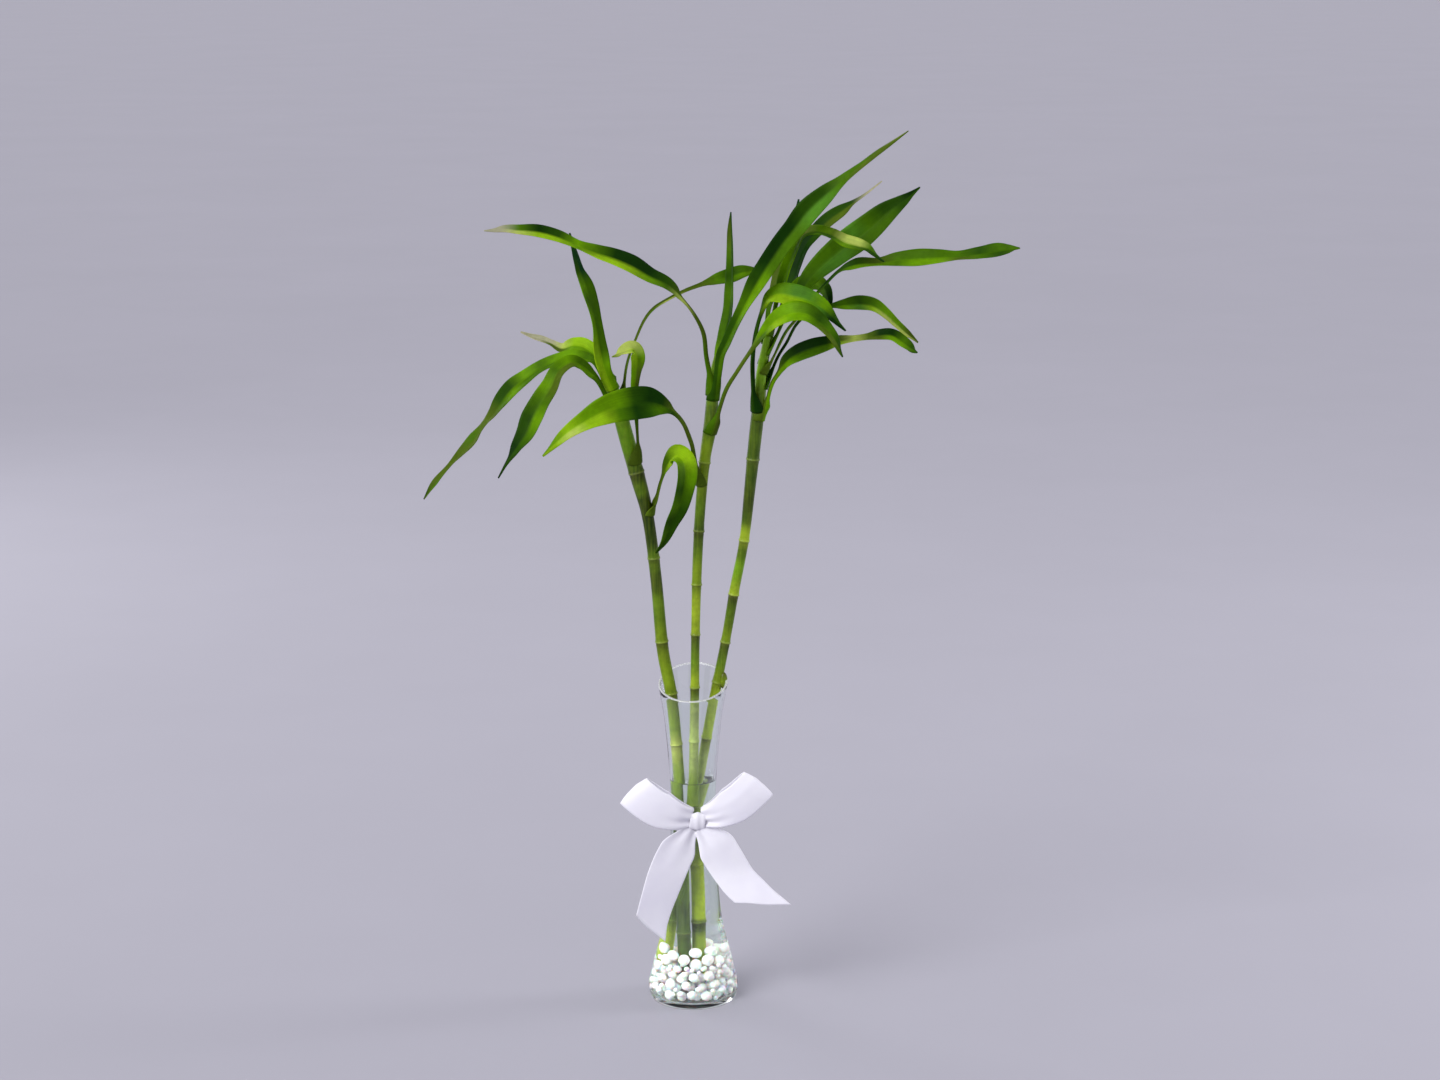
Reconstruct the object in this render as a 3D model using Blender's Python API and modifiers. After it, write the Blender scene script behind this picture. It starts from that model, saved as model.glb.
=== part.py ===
# Lucky bamboo in a glass bud vase. Three leafy stalks stand in water and white pebbles,
# and a ribbon is tied in a bow at the vase's waist. Units are metres, +Z is up and the
# front faces -Y. The origin is the centre of the face that the vase rests on.
import math
import random

import bmesh
import bpy
from mathutils import Vector

# Driving dimensions
GAP = 0.0003  # between neighbours that touch
FRONT = Vector((0, -1, 0))

FOOT_RADIUS = 0.026  # the flat ring that the vase stands on
RIM_HEIGHT = 0.209  # the mouth's centre
RIM_SLOPE_X = 0.042  # the mouth rises a little to the right
RIM_SLOPE_Y = 0.337  # and much more to the back
FLOOR_HEIGHT = 0.0030  # thickness of the vase's glass floor
FLOOR_CORNER = 0.006  # the inside rounds up from the floor to the wall
WALL = 0.0015  # at the waist and the mouth
FOOT_WALL = 0.0030  # in the heavy foot
FOOT_TOP = 0.045  # the wall is thin from here up
VASE_STEPS = 32
VASE_RINGS = 14
# Outer radius and height, from the foot up past the mouth
VASE_OUTLINE = [
    (0.0288, 0, 0.010),
    (0.0255, 0, 0.024),
    (0.0223, 0, 0.037),
    (0.0190, 0, 0.050),
    (0.0169, 0, 0.067),
    (0.0153, 0, 0.090),
    (0.0143, 0, 0.118),
    (0.0151, 0, 0.150),
    (0.0182, 0, 0.185),
    (0.0214, 0, 0.205),
    (0.0238, 0, 0.222),
]

WATER_HEIGHT = 0.145
PEBBLE_TOP = 0.037  # no pebble reaches higher
BED_HEIGHT = 0.0225  # top of the close-packed pebbles
PEBBLE_RADIUS = 0.0037
PEBBLE_COUNT = 15
PEBBLE_SEED = 11
PEBBLE_TRIES = 3000

STALK_SIDES = 2  # bevel resolution, 8 sides
STALK_STEP = 0.008  # between points along a stalk
RING_SWELL = 0.0005  # how much a node stands out
RING_REACH = 0.004

LEAF_THICKNESS = 0.0008
LEAF_ROWS = 22
LEAF_KEEL = 0.17  # depth of the fold along the midrib, of the width
STALKED_WIDTH = 0.0028  # at the foot, where a leaf leaves its cane
TIP_WIDTH = 0.0009
BASE_BLEND = 0.14  # of the length, over which a leaf turns from its stalk to its own face

RIBBON_WIDTH = 0.025
RIBBON_THICKNESS = 0.0006
WAIST_HEIGHT = 0.1205
BAND_HEIGHT = 0.0115
BAND_CLEARANCE = 0.0004
KNOT_CENTRE = (0.003, -0.0188, 0.1235)
KNOT_SIZE = (0.0100, 0.0060, 0.0120)
LOOP_WIDTH = 0.0235
LOOP_ROOT_WIDTH = 0.0130
LOOP_ROWS = 20
# Share of the loop's length, and how far in front of the knot's centre it lies
LOOP_SECTION = [
    (0.00, 0.0016),
    (0.25, 0.0048),
    (0.60, 0.0066),
    (0.88, 0.0056),
    (1.00, 0.0016),
    (0.90, -0.0022),
    (0.60, -0.0030),
    (0.25, -0.0020),
    (0.00, -0.0010),
]
# How far right and up each loop's end lies from the knot's centre, how far from it the
# loop begins, and how much it hangs
LOOPS = {
    "ribbon_loop_left": dict(reach=(-0.0415, 0.0215), root=0.0062, sag=0.0038),
    "ribbon_loop_right": dict(reach=(0.0395, 0.0265), root=0.0066, sag=0.0038),
}
TAIL_ROOT_WIDTH = 0.011
TAIL_SPREAD = 4.5  # how soon the gathered root opens out
TAIL_ROWS = 14
# The turn is from the front, in degrees, at the root and at the end
TAILS = {
    "ribbon_tail_left": dict(
        route=[
            (-0.0028, -0.0190, 0.1160),
            (-0.0082, -0.0205, 0.1075),
            (-0.0130, -0.0220, 0.0985),
            (-0.0168, -0.0235, 0.0885),
            (-0.0202, -0.0246, 0.0778),
            (-0.0240, -0.0256, 0.0668),
            (-0.0272, -0.0264, 0.0565),
            (-0.0289, -0.0270, 0.0466),
        ],
        turn=(15, 28),
        slant=-0.20,
    ),
    "ribbon_tail_right": dict(
        route=[
            (0.0062, -0.0192, 0.1168),
            (0.0135, -0.0215, 0.1095),
            (0.0185, -0.0226, 0.1018),
            (0.0240, -0.0238, 0.0935),
            (0.0299, -0.0250, 0.0852),
            (0.0375, -0.0260, 0.0776),
            (0.0451, -0.0268, 0.0699),
            (0.0559, -0.0275, 0.0608),
        ],
        turn=(15, 42),
        slant=-0.38,
    ),
}

# Route of each stalk from its cut end up, as x, y, z and radius, and the heights of its nodes
STALKS = {
    "left": dict(
        route=[
            (-0.0035, -0.0045, 0.0115, 0.0036),
            (-0.0050, -0.0052, 0.0440, 0.0036),
            (-0.0058, -0.0055, 0.0850, 0.0036),
            (-0.0078, -0.0034, 0.1200, 0.0036),
            (-0.0088, -0.0014, 0.1460, 0.0036),
            (-0.0132, -0.0010, 0.1980, 0.0037),
            (-0.0189, -0.0010, 0.2310, 0.0038),
            (-0.0228, -0.0020, 0.2760, 0.0036),
            (-0.0275, -0.0030, 0.3150, 0.0037),
            (-0.0334, -0.0040, 0.3400, 0.0046),
            (-0.0405, -0.0050, 0.3660, 0.0047),
            (-0.0470, -0.0060, 0.3910, 0.0043),
            (-0.0522, -0.0060, 0.4060, 0.0030),
            (-0.0550, -0.0060, 0.4160, 0.0016),
        ],
        rings=[0.045, 0.098, 0.169, 0.202, 0.236, 0.290, 0.345],
    ),
    "middle": dict(
        route=[
            (0.0028, 0.0010, 0.0125, 0.0033),
            (0.0026, 0.0002, 0.0500, 0.0033),
            (0.0020, -0.0005, 0.0850, 0.0032),
            (0.0000, -0.0020, 0.1200, 0.0031),
            (0.0003, -0.0034, 0.1460, 0.0030),
            (0.0012, -0.0050, 0.1990, 0.0028),
            (0.0017, -0.0040, 0.2380, 0.0027),
            (0.0028, -0.0020, 0.2820, 0.0030),
            (0.0048, 0.0000, 0.3200, 0.0032),
            (0.0078, 0.0020, 0.3520, 0.0034),
            (0.0115, 0.0030, 0.3760, 0.0042),
            (0.0130, 0.0040, 0.4020, 0.0030),
            (0.0150, 0.0040, 0.4170, 0.0014),
        ],
        rings=[0.051, 0.090, 0.130, 0.172, 0.207, 0.241, 0.273, 0.307, 0.350],
    ),
    "right": dict(
        route=[
            (-0.0135, 0.0075, 0.0180, 0.0036),
            (-0.0060, 0.0066, 0.0850, 0.0034),
            (-0.0008, 0.0062, 0.1200, 0.0033),
            (0.0042, 0.0052, 0.1460, 0.0031),
            (0.0133, 0.0040, 0.1970, 0.0032),
            (0.0209, 0.0050, 0.2360, 0.0029),
            (0.0263, 0.0050, 0.2680, 0.0031),
            (0.0323, 0.0040, 0.3000, 0.0030),
            (0.0358, 0.0030, 0.3330, 0.0035),
            (0.0389, 0.0020, 0.3640, 0.0040),
            (0.0416, 0.0010, 0.3900, 0.0039),
            (0.0430, 0.0000, 0.4090, 0.0030),
            (0.0460, 0.0000, 0.4270, 0.0022),
            (0.0480, 0.0000, 0.4410, 0.0013),
        ],
        rings=[0.050, 0.100, 0.172, 0.208, 0.234, 0.265, 0.300, 0.352],
    ),
}

# Each leaf leaves its stalk at a height and passes through the points of its path. A point
# gives x, y and z, the width there, and how far the face is turned from the front, 0, to its
# upper side, 90 degrees.
LEAVES = {
    "leaf_left_upright": dict(
        stalk="left",
        height=0.397,
        path=[
            (-0.0540, -0.0120, 0.4115, 0.0085, 20),
            (-0.0565, -0.0110, 0.4225, 0.0105, 35),
            (-0.0580, -0.0100, 0.4335, 0.0096, 51),
            (-0.0600, -0.0090, 0.4435, 0.0110, 60),
            (-0.0625, -0.0070, 0.4525, 0.0135, 60),
            (-0.0650, -0.0050, 0.4615, 0.0104, 45),
            (-0.0685, -0.0030, 0.4705, 0.0060, 30),
            (-0.0715, 0.0000, 0.4810, 0.0041, 25),
            (-0.0750, 0.0030, 0.4930, 0.0009, 20),
        ],
    ),
    "leaf_left_long": dict(
        stalk="left",
        height=0.388,
        path=[
            (-0.0600, 0.0020, 0.4110, 0.0041, 60),
            (-0.0670, 0.0060, 0.4145, 0.0112, 60),
            (-0.0750, 0.0100, 0.4155, 0.0112, 60),
            (-0.0840, 0.0160, 0.4125, 0.0103, 57),
            (-0.0950, 0.0210, 0.4070, 0.0104, 53),
            (-0.1050, 0.0230, 0.4000, 0.0115, 45),
            (-0.1135, 0.0250, 0.3930, 0.0133, 45),
            (-0.1205, 0.0260, 0.3845, 0.0127, 50),
            (-0.1255, 0.0255, 0.3770, 0.0101, 60),
            (-0.1315, 0.0250, 0.3695, 0.0091, 76),
            (-0.1380, 0.0240, 0.3610, 0.0099, 55),
            (-0.1455, 0.0240, 0.3530, 0.0069, 50),
            (-0.1540, 0.0250, 0.3430, 0.0056, 70),
            (-0.1630, 0.0260, 0.3325, 0.0061, 55),
            (-0.1705, 0.0270, 0.3220, 0.0010, 50),
        ],
    ),
    "leaf_left_droop": dict(
        stalk="left",
        height=0.383,
        path=[
            (-0.0565, -0.0150, 0.4030, 0.0041, 40),
            (-0.0625, -0.0180, 0.4100, 0.0069, 45),
            (-0.0685, -0.0220, 0.4155, 0.0085, 50),
            (-0.0745, -0.0260, 0.4170, 0.0104, 50),
            (-0.0815, -0.0300, 0.4120, 0.0111, 40),
            (-0.0860, -0.0330, 0.4030, 0.0126, 35),
            (-0.0915, -0.0360, 0.3945, 0.0133, 30),
            (-0.0965, -0.0390, 0.3850, 0.0147, 30),
            (-0.1005, -0.0410, 0.3760, 0.0126, 30),
            (-0.1060, -0.0430, 0.3680, 0.0081, 35),
            (-0.1120, -0.0440, 0.3590, 0.0030, 35),
            (-0.1175, -0.0450, 0.3490, 0.0009, 35),
        ],
    ),
    "leaf_left_grey_tip": dict(
        stalk="left",
        height=0.399,
        path=[
            (-0.0555, 0.0130, 0.4090, 0.0087, 50),
            (-0.0615, 0.0190, 0.4155, 0.0106, 40),
            (-0.0680, 0.0250, 0.4195, 0.0114, 40),
            (-0.0750, 0.0300, 0.4200, 0.0107, 50),
            (-0.0825, 0.0340, 0.4175, 0.0088, 60),
            (-0.0895, 0.0380, 0.4200, 0.0055, 55),
            (-0.0960, 0.0420, 0.4220, 0.0054, 50),
            (-0.1025, 0.0450, 0.4235, 0.0036, 45),
            (-0.1090, 0.0470, 0.4260, 0.0010, 40),
        ],
    ),
    "leaf_left_curled": dict(
        stalk="left",
        height=0.350,
        path=[
            (-0.0335, -0.0140, 0.3695, 0.0020, 30),
            (-0.0340, -0.0160, 0.3800, 0.0027, 20),
            (-0.0345, -0.0180, 0.3900, 0.0040, 15),
            (-0.0350, -0.0200, 0.4005, 0.0050, 10),
            (-0.0340, -0.0220, 0.4105, 0.0063, 15),
            (-0.0330, -0.0240, 0.4195, 0.0091, 20),
            (-0.0355, -0.0260, 0.4255, 0.0103, 45),
            (-0.0410, -0.0280, 0.4245, 0.0097, 60),
            (-0.0485, -0.0290, 0.4210, 0.0012, 70),
        ],
    ),
    "leaf_left_arching": dict(
        stalk="left",
        height=0.386,
        path=[
            (-0.0415, 0.0030, 0.4030, 0.0027, 50),
            (-0.0395, 0.0070, 0.4140, 0.0027, 55),
            (-0.0355, 0.0110, 0.4245, 0.0027, 60),
            (-0.0300, 0.0160, 0.4365, 0.0031, 60),
            (-0.0240, 0.0190, 0.4440, 0.0034, 60),
            (-0.0150, 0.0220, 0.4495, 0.0034, 60),
            (-0.0040, 0.0260, 0.4545, 0.0038, 60),
            (0.0065, 0.0290, 0.4580, 0.0048, 55),
            (0.0160, 0.0310, 0.4610, 0.0097, 50),
            (0.0245, 0.0330, 0.4630, 0.0115, 45),
            (0.0320, 0.0340, 0.4655, 0.0097, 45),
            (0.0425, 0.0350, 0.4665, 0.0019, 50),
        ],
    ),
    "leaf_left_folded": dict(
        stalk="left",
        height=0.317,
        path=[
            (-0.0205, -0.0090, 0.3355, 0.0027, 40),
            (-0.0175, -0.0130, 0.3455, 0.0034, 45),
            (-0.0145, -0.0160, 0.3535, 0.0097, 55),
            (-0.0100, -0.0190, 0.3585, 0.0160, 60),
            (-0.0050, -0.0220, 0.3555, 0.0163, 50),
            (-0.0035, -0.0240, 0.3470, 0.0135, 30),
            (-0.0050, -0.0250, 0.3370, 0.0122, 25),
            (-0.0080, -0.0250, 0.3265, 0.0109, 25),
            (-0.0125, -0.0230, 0.3170, 0.0089, 25),
            (-0.0170, -0.0210, 0.3060, 0.0057, 30),
            (-0.0225, -0.0190, 0.2970, 0.0012, 30),
        ],
    ),
    "leaf_middle_arching": dict(
        stalk="middle",
        height=0.392,
        path=[
            (0.0110, -0.0010, 0.4040, 0.0034, 30),
            (0.0090, -0.0030, 0.4180, 0.0034, 30),
            (0.0075, -0.0070, 0.4320, 0.0034, 35),
            (0.0025, -0.0110, 0.4435, 0.0030, 45),
            (-0.0050, -0.0150, 0.4540, 0.0034, 50),
            (-0.0145, -0.0180, 0.4635, 0.0106, 55),
            (-0.0255, -0.0200, 0.4690, 0.0132, 55),
            (-0.0360, -0.0220, 0.4752, 0.0160, 55),
            (-0.0465, -0.0240, 0.4800, 0.0148, 55),
            (-0.0570, -0.0260, 0.4836, 0.0132, 60),
            (-0.0685, -0.0280, 0.4883, 0.0097, 64),
            (-0.0800, -0.0290, 0.4935, 0.0105, 55),
            (-0.0925, -0.0310, 0.4970, 0.0103, 50),
            (-0.1040, -0.0320, 0.4980, 0.0084, 55),
            (-0.1145, -0.0330, 0.4990, 0.0060, 60),
            (-0.1245, -0.0340, 0.4980, 0.0009, 60),
        ],
    ),
    "leaf_middle_broad": dict(
        stalk="middle",
        height=0.335,
        path=[
            (0.0010, -0.0090, 0.3590, 0.0031, 30),
            (-0.0015, -0.0130, 0.3690, 0.0034, 35),
            (-0.0055, -0.0170, 0.3790, 0.0034, 40),
            (-0.0115, -0.0200, 0.3860, 0.0047, 40),
            (-0.0185, -0.0230, 0.3900, 0.0127, 35),
            (-0.0260, -0.0260, 0.3920, 0.0197, 30),
            (-0.0350, -0.0290, 0.3920, 0.0209, 25),
            (-0.0455, -0.0320, 0.3905, 0.0194, 20),
            (-0.0550, -0.0350, 0.3875, 0.0168, 20),
            (-0.0640, -0.0370, 0.3830, 0.0127, 25),
            (-0.0740, -0.0400, 0.3770, 0.0091, 30),
            (-0.0825, -0.0410, 0.3700, 0.0056, 30),
            (-0.0905, -0.0420, 0.3620, 0.0012, 30),
        ],
    ),
    "leaf_middle_spike": dict(
        stalk="middle",
        height=0.399,
        path=[
            (0.0170, 0.0090, 0.4175, 0.0077, 50),
            (0.0190, 0.0110, 0.4270, 0.0087, 50),
            (0.0215, 0.0130, 0.4370, 0.0092, 50),
            (0.0230, 0.0150, 0.4460, 0.0097, 55),
            (0.0235, 0.0155, 0.4550, 0.0105, 60),
            (0.0240, 0.0160, 0.4650, 0.0093, 60),
            (0.0240, 0.0165, 0.4760, 0.0081, 60),
            (0.0240, 0.0170, 0.4875, 0.0068, 60),
            (0.0240, 0.0175, 0.4965, 0.0043, 55),
            (0.0240, 0.0180, 0.5045, 0.0009, 50),
        ],
    ),
    "leaf_middle_long": dict(
        stalk="middle",
        height=0.389,
        path=[
            (0.0170, -0.0030, 0.4155, 0.0064, 40),
            (0.0215, -0.0060, 0.4270, 0.0074, 42),
            (0.0265, -0.0090, 0.4385, 0.0078, 45),
            (0.0320, -0.0130, 0.4500, 0.0090, 42),
            (0.0390, -0.0170, 0.4635, 0.0126, 35),
            (0.0465, -0.0200, 0.4760, 0.0133, 30),
            (0.0540, -0.0220, 0.4875, 0.0134, 25),
            (0.0620, -0.0240, 0.4980, 0.0137, 22),
            (0.0700, -0.0250, 0.5085, 0.0149, 22),
            (0.0805, -0.0260, 0.5185, 0.0123, 28),
            (0.0905, -0.0265, 0.5270, 0.0084, 50),
            (0.1010, -0.0270, 0.5360, 0.0060, 60),
            (0.1150, -0.0270, 0.5470, 0.0048, 60),
            (0.1300, -0.0260, 0.5570, 0.0009, 60),
        ],
    ),
    "leaf_middle_low": dict(
        stalk="middle",
        height=0.368,
        path=[
            (0.0195, -0.0080, 0.3950, 0.0034, 40),
            (0.0275, -0.0130, 0.4100, 0.0034, 45),
            (0.0360, -0.0190, 0.4240, 0.0040, 50),
            (0.0435, -0.0250, 0.4350, 0.0076, 50),
            (0.0510, -0.0310, 0.4435, 0.0122, 50),
            (0.0600, -0.0360, 0.4485, 0.0160, 50),
            (0.0690, -0.0390, 0.4485, 0.0144, 48),
            (0.0760, -0.0410, 0.4445, 0.0119, 45),
            (0.0820, -0.0440, 0.4390, 0.0086, 40),
            (0.0870, -0.0460, 0.4325, 0.0063, 40),
            (0.0910, -0.0480, 0.4235, 0.0009, 40),
        ],
    ),
    "leaf_right_front": dict(
        stalk="right",
        height=0.382,
        path=[
            (0.0370, -0.0080, 0.4050, 0.0034, 30),
            (0.0370, -0.0095, 0.4175, 0.0034, 32),
            (0.0385, -0.0110, 0.4315, 0.0034, 35),
            (0.0415, -0.0130, 0.4440, 0.0034, 40),
            (0.0460, -0.0150, 0.4545, 0.0069, 45),
            (0.0530, -0.0180, 0.4580, 0.0135, 40),
            (0.0615, -0.0210, 0.4570, 0.0156, 35),
            (0.0705, -0.0240, 0.4550, 0.0136, 32),
            (0.0785, -0.0260, 0.4510, 0.0111, 35),
            (0.0855, -0.0280, 0.4450, 0.0062, 38),
            (0.0935, -0.0300, 0.4370, 0.0012, 40),
        ],
    ),
    "leaf_right_upright": dict(
        stalk="right",
        height=0.424,
        path=[
            (0.0480, 0.0090, 0.4460, 0.0048, 50),
            (0.0520, 0.0130, 0.4575, 0.0088, 45),
            (0.0555, 0.0160, 0.4700, 0.0108, 42),
            (0.0595, 0.0180, 0.4820, 0.0097, 40),
            (0.0625, 0.0200, 0.4940, 0.0075, 42),
            (0.0650, 0.0210, 0.5035, 0.0044, 40),
            (0.0660, 0.0220, 0.5120, 0.0012, 40),
        ],
    ),
    "leaf_right_narrow": dict(
        stalk="right",
        height=0.399,
        path=[
            (0.0515, 0.0160, 0.4350, 0.0034, 50),
            (0.0565, 0.0270, 0.4450, 0.0041, 50),
            (0.0620, 0.0370, 0.4565, 0.0075, 48),
            (0.0655, 0.0430, 0.4685, 0.0089, 45),
            (0.0700, 0.0460, 0.4800, 0.0093, 42),
            (0.0770, 0.0480, 0.4885, 0.0099, 40),
            (0.0850, 0.0495, 0.4960, 0.0104, 38),
            (0.0935, 0.0505, 0.5020, 0.0088, 38),
            (0.1010, 0.0515, 0.5070, 0.0044, 50),
            (0.1090, 0.0525, 0.5125, 0.0022, 55),
            (0.1190, 0.0540, 0.5205, 0.0008, 50),
        ],
    ),
    "leaf_right_wide": dict(
        stalk="right",
        height=0.418,
        path=[
            (0.0575, 0.0030, 0.4405, 0.0034, 50),
            (0.0625, 0.0050, 0.4480, 0.0041, 48),
            (0.0670, 0.0060, 0.4565, 0.0086, 44),
            (0.0735, 0.0070, 0.4655, 0.0133, 38),
            (0.0815, 0.0080, 0.4735, 0.0160, 32),
            (0.0910, 0.0080, 0.4815, 0.0181, 28),
            (0.1010, 0.0075, 0.4890, 0.0190, 25),
            (0.1100, 0.0070, 0.4965, 0.0176, 25),
            (0.1190, 0.0060, 0.5045, 0.0146, 28),
            (0.1275, 0.0050, 0.5110, 0.0094, 32),
            (0.1335, 0.0040, 0.5155, 0.0053, 36),
            (0.1395, 0.0020, 0.5210, 0.0009, 40),
        ],
    ),
    "leaf_right_pale": dict(
        stalk="right",
        height=0.430,
        path=[
            (0.0515, -0.0070, 0.4525, 0.0040, 40),
            (0.0550, -0.0090, 0.4635, 0.0074, 42),
            (0.0585, -0.0120, 0.4755, 0.0086, 45),
            (0.0630, -0.0150, 0.4870, 0.0085, 50),
            (0.0680, -0.0180, 0.4945, 0.0097, 60),
            (0.0765, -0.0210, 0.4965, 0.0097, 60),
            (0.0850, -0.0240, 0.4945, 0.0103, 58),
            (0.0925, -0.0260, 0.4905, 0.0116, 55),
            (0.1005, -0.0290, 0.4885, 0.0105, 55),
            (0.1070, -0.0310, 0.4865, 0.0068, 58),
            (0.1160, -0.0350, 0.4795, 0.0012, 60),
        ],
    ),
    "leaf_right_long": dict(
        stalk="right",
        height=0.406,
        path=[
            (0.0565, -0.0070, 0.4305, 0.0027, 50),
            (0.0640, -0.0090, 0.4410, 0.0027, 50),
            (0.0730, -0.0110, 0.4530, 0.0027, 50),
            (0.0820, -0.0130, 0.4635, 0.0027, 50),
            (0.0900, -0.0150, 0.4715, 0.0033, 52),
            (0.1005, -0.0180, 0.4760, 0.0095, 55),
            (0.1130, -0.0200, 0.4770, 0.0088, 65),
            (0.1245, -0.0220, 0.4790, 0.0113, 50),
            (0.1365, -0.0240, 0.4800, 0.0136, 48),
            (0.1490, -0.0260, 0.4810, 0.0118, 52),
            (0.1615, -0.0270, 0.4815, 0.0107, 67),
            (0.1740, -0.0285, 0.4835, 0.0106, 55),
            (0.1860, -0.0295, 0.4855, 0.0116, 55),
            (0.1980, -0.0300, 0.4870, 0.0012, 60),
        ],
    ),
    "leaf_right_droop": dict(
        stalk="right",
        height=0.396,
        path=[
            (0.0525, 0.0060, 0.4140, 0.0027, 50),
            (0.0590, 0.0100, 0.4245, 0.0027, 50),
            (0.0650, 0.0140, 0.4350, 0.0027, 50),
            (0.0740, 0.0180, 0.4425, 0.0031, 50),
            (0.0845, 0.0210, 0.4450, 0.0034, 50),
            (0.0950, 0.0230, 0.4460, 0.0087, 50),
            (0.1045, 0.0250, 0.4465, 0.0131, 55),
            (0.1130, 0.0260, 0.4450, 0.0130, 58),
            (0.1205, 0.0270, 0.4400, 0.0098, 55),
            (0.1280, 0.0285, 0.4330, 0.0071, 52),
            (0.1345, 0.0295, 0.4270, 0.0059, 50),
            (0.1415, 0.0305, 0.4215, 0.0013, 50),
        ],
    ),
    "leaf_right_low": dict(
        stalk="right",
        height=0.377,
        path=[
            (0.0480, -0.0040, 0.3980, 0.0034, 40),
            (0.0530, -0.0070, 0.4080, 0.0041, 42),
            (0.0585, -0.0110, 0.4160, 0.0088, 40),
            (0.0655, -0.0140, 0.4210, 0.0117, 38),
            (0.0740, -0.0160, 0.4245, 0.0124, 38),
            (0.0825, -0.0170, 0.4270, 0.0107, 42),
            (0.0905, -0.0180, 0.4290, 0.0087, 56),
            (0.0990, -0.0190, 0.4300, 0.0087, 74),
            (0.1075, -0.0200, 0.4315, 0.0087, 72),
            (0.1145, -0.0210, 0.4330, 0.0090, 55),
            (0.1220, -0.0220, 0.4330, 0.0095, 50),
            (0.1285, -0.0230, 0.4290, 0.0095, 50),
            (0.1335, -0.0240, 0.4255, 0.0069, 52),
            (0.1375, -0.0250, 0.4230, 0.0012, 55),
        ],
    ),
    "leaf_right_back": dict(
        stalk="right",
        height=0.411,
        path=[
            (0.0495, 0.0080, 0.4295, 0.0031, 60),
            (0.0545, 0.0130, 0.4405, 0.0041, 57),
            (0.0605, 0.0190, 0.4500, 0.0106, 54),
            (0.0685, 0.0250, 0.4570, 0.0146, 50),
            (0.0760, 0.0290, 0.4590, 0.0146, 50),
            (0.0825, 0.0330, 0.4550, 0.0098, 40),
            (0.0850, 0.0360, 0.4490, 0.0069, 35),
            (0.0870, 0.0380, 0.4420, 0.0013, 35),
        ],
    ),
}

GREEN = (0.10, 0.30, 0.03)
CANE = (0.16, 0.34, 0.05)
SATIN = (0.83, 0.80, 0.90)
STONE = (0.82, 0.82, 0.80)
CLEAR = (0.90, 0.95, 0.94)


def clear_scene():
    for obj in list(bpy.data.objects):
        bpy.data.objects.remove(obj)


def new_collection(name):
    made = bpy.data.collections.new(name)
    bpy.context.scene.collection.children.link(made)
    return made


def new_material(name, colour, roughness, transmission=0.0):
    made = bpy.data.materials.new(name)
    made.use_nodes = True
    shader = made.node_tree.nodes["Principled BSDF"]
    shader.inputs["Base Color"].default_value = (*colour, 1)
    shader.inputs["Roughness"].default_value = roughness
    shader.inputs["Transmission Weight"].default_value = transmission
    return made


def add_object(name, data, collection, material=None):
    obj = bpy.data.objects.new(name, data)
    collection.objects.link(obj)
    if material:
        data.materials.append(material)
    return obj


def add_mesh(name, bm, collection, material=None):
    mesh = bpy.data.meshes.new(name)
    bm.to_mesh(mesh)
    bm.free()
    mesh.shade_smooth()
    mesh.set_sharp_from_angle(angle=math.radians(40))
    return add_object(name, mesh, collection, material)


def cut(obj, cutter):
    modifier = obj.modifiers.new(cutter.name, "BOOLEAN")
    modifier.operation = "DIFFERENCE"
    modifier.object = cutter


def hide(cutter):
    cutter.hide_render = True
    cutter.display_type = "WIRE"
    return cutter


# A smooth curve through points, and what varies along it


def on_curve(points, place):
    """The point at this place on a smooth curve, where 0 is the first point and 1 the second."""
    last = len(points) - 1
    span = min(int(place), last - 1)
    u = place - span
    before, start, end, after = (
        Vector(points[min(max(span + i, 0), last)]) for i in (-1, 0, 1, 2)
    )
    if span == 0:
        before = start * 2 - end
    if span == last - 1:
        after = end * 2 - start
    return 0.5 * (
        start * 2
        + (end - before) * u
        + (before * 2 - start * 5 + end * 4 - after) * u**2
        + (start * 3 - before - end * 3 + after) * u**3
    )


def between(values, place):
    span = min(int(place), len(values) - 2)
    return values[span] + (values[span + 1] - values[span]) * (place - span)


def at_height(points, height):
    """The point at this height on a curve that rises all the way."""
    low, high = 0.0, len(points) - 1.0
    for _ in range(30):
        middle = (low + high) / 2
        if on_curve(points, middle).z < height:
            low = middle
        else:
            high = middle
    return on_curve(points, low)


def even_places(points, count):
    """Places that part the curve into stretches of equal length."""
    fine = 24
    places = [i / fine for i in range(fine * (len(points) - 1) + 1)]
    found = [on_curve(points, place) for place in places]
    lengths = [0.0]
    for a, b in zip(found, found[1:]):
        lengths.append(lengths[-1] + (b - a).length)
    even = [0.0]
    i = 0
    for step in range(1, count):
        target = lengths[-1] * step / count
        while lengths[i + 1] < target:
            i += 1
        share = (target - lengths[i]) / (lengths[i + 1] - lengths[i])
        even.append((i + share) / fine)
    return [*even, len(points) - 1.0]


# Vase, water and pebbles


def outer_radius(height):
    return at_height(VASE_OUTLINE, height).x


def wall_at(height):
    share = min(max(1 - height / FOOT_TOP, 0), 1)
    return WALL + (FOOT_WALL - WALL) * share


def inner_radius(height):
    return outer_radius(height) - wall_at(height)


def cavity_profile(low, high, inset, corner, rings):
    """Radius and height up the inside of the vase, with a rounded corner at the floor."""
    profile = []
    for i in range(4):
        angle = math.radians(30 * i)
        edge = inner_radius(low + corner) - inset
        radius = edge - corner + corner * math.sin(angle)
        profile.append((radius, low + corner - corner * math.cos(angle)))
    for i in range(1, rings + 1):
        height = low + corner + (high - low - corner) * i / rings
        profile.append((inner_radius(height) - inset, height))
    return profile


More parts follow.
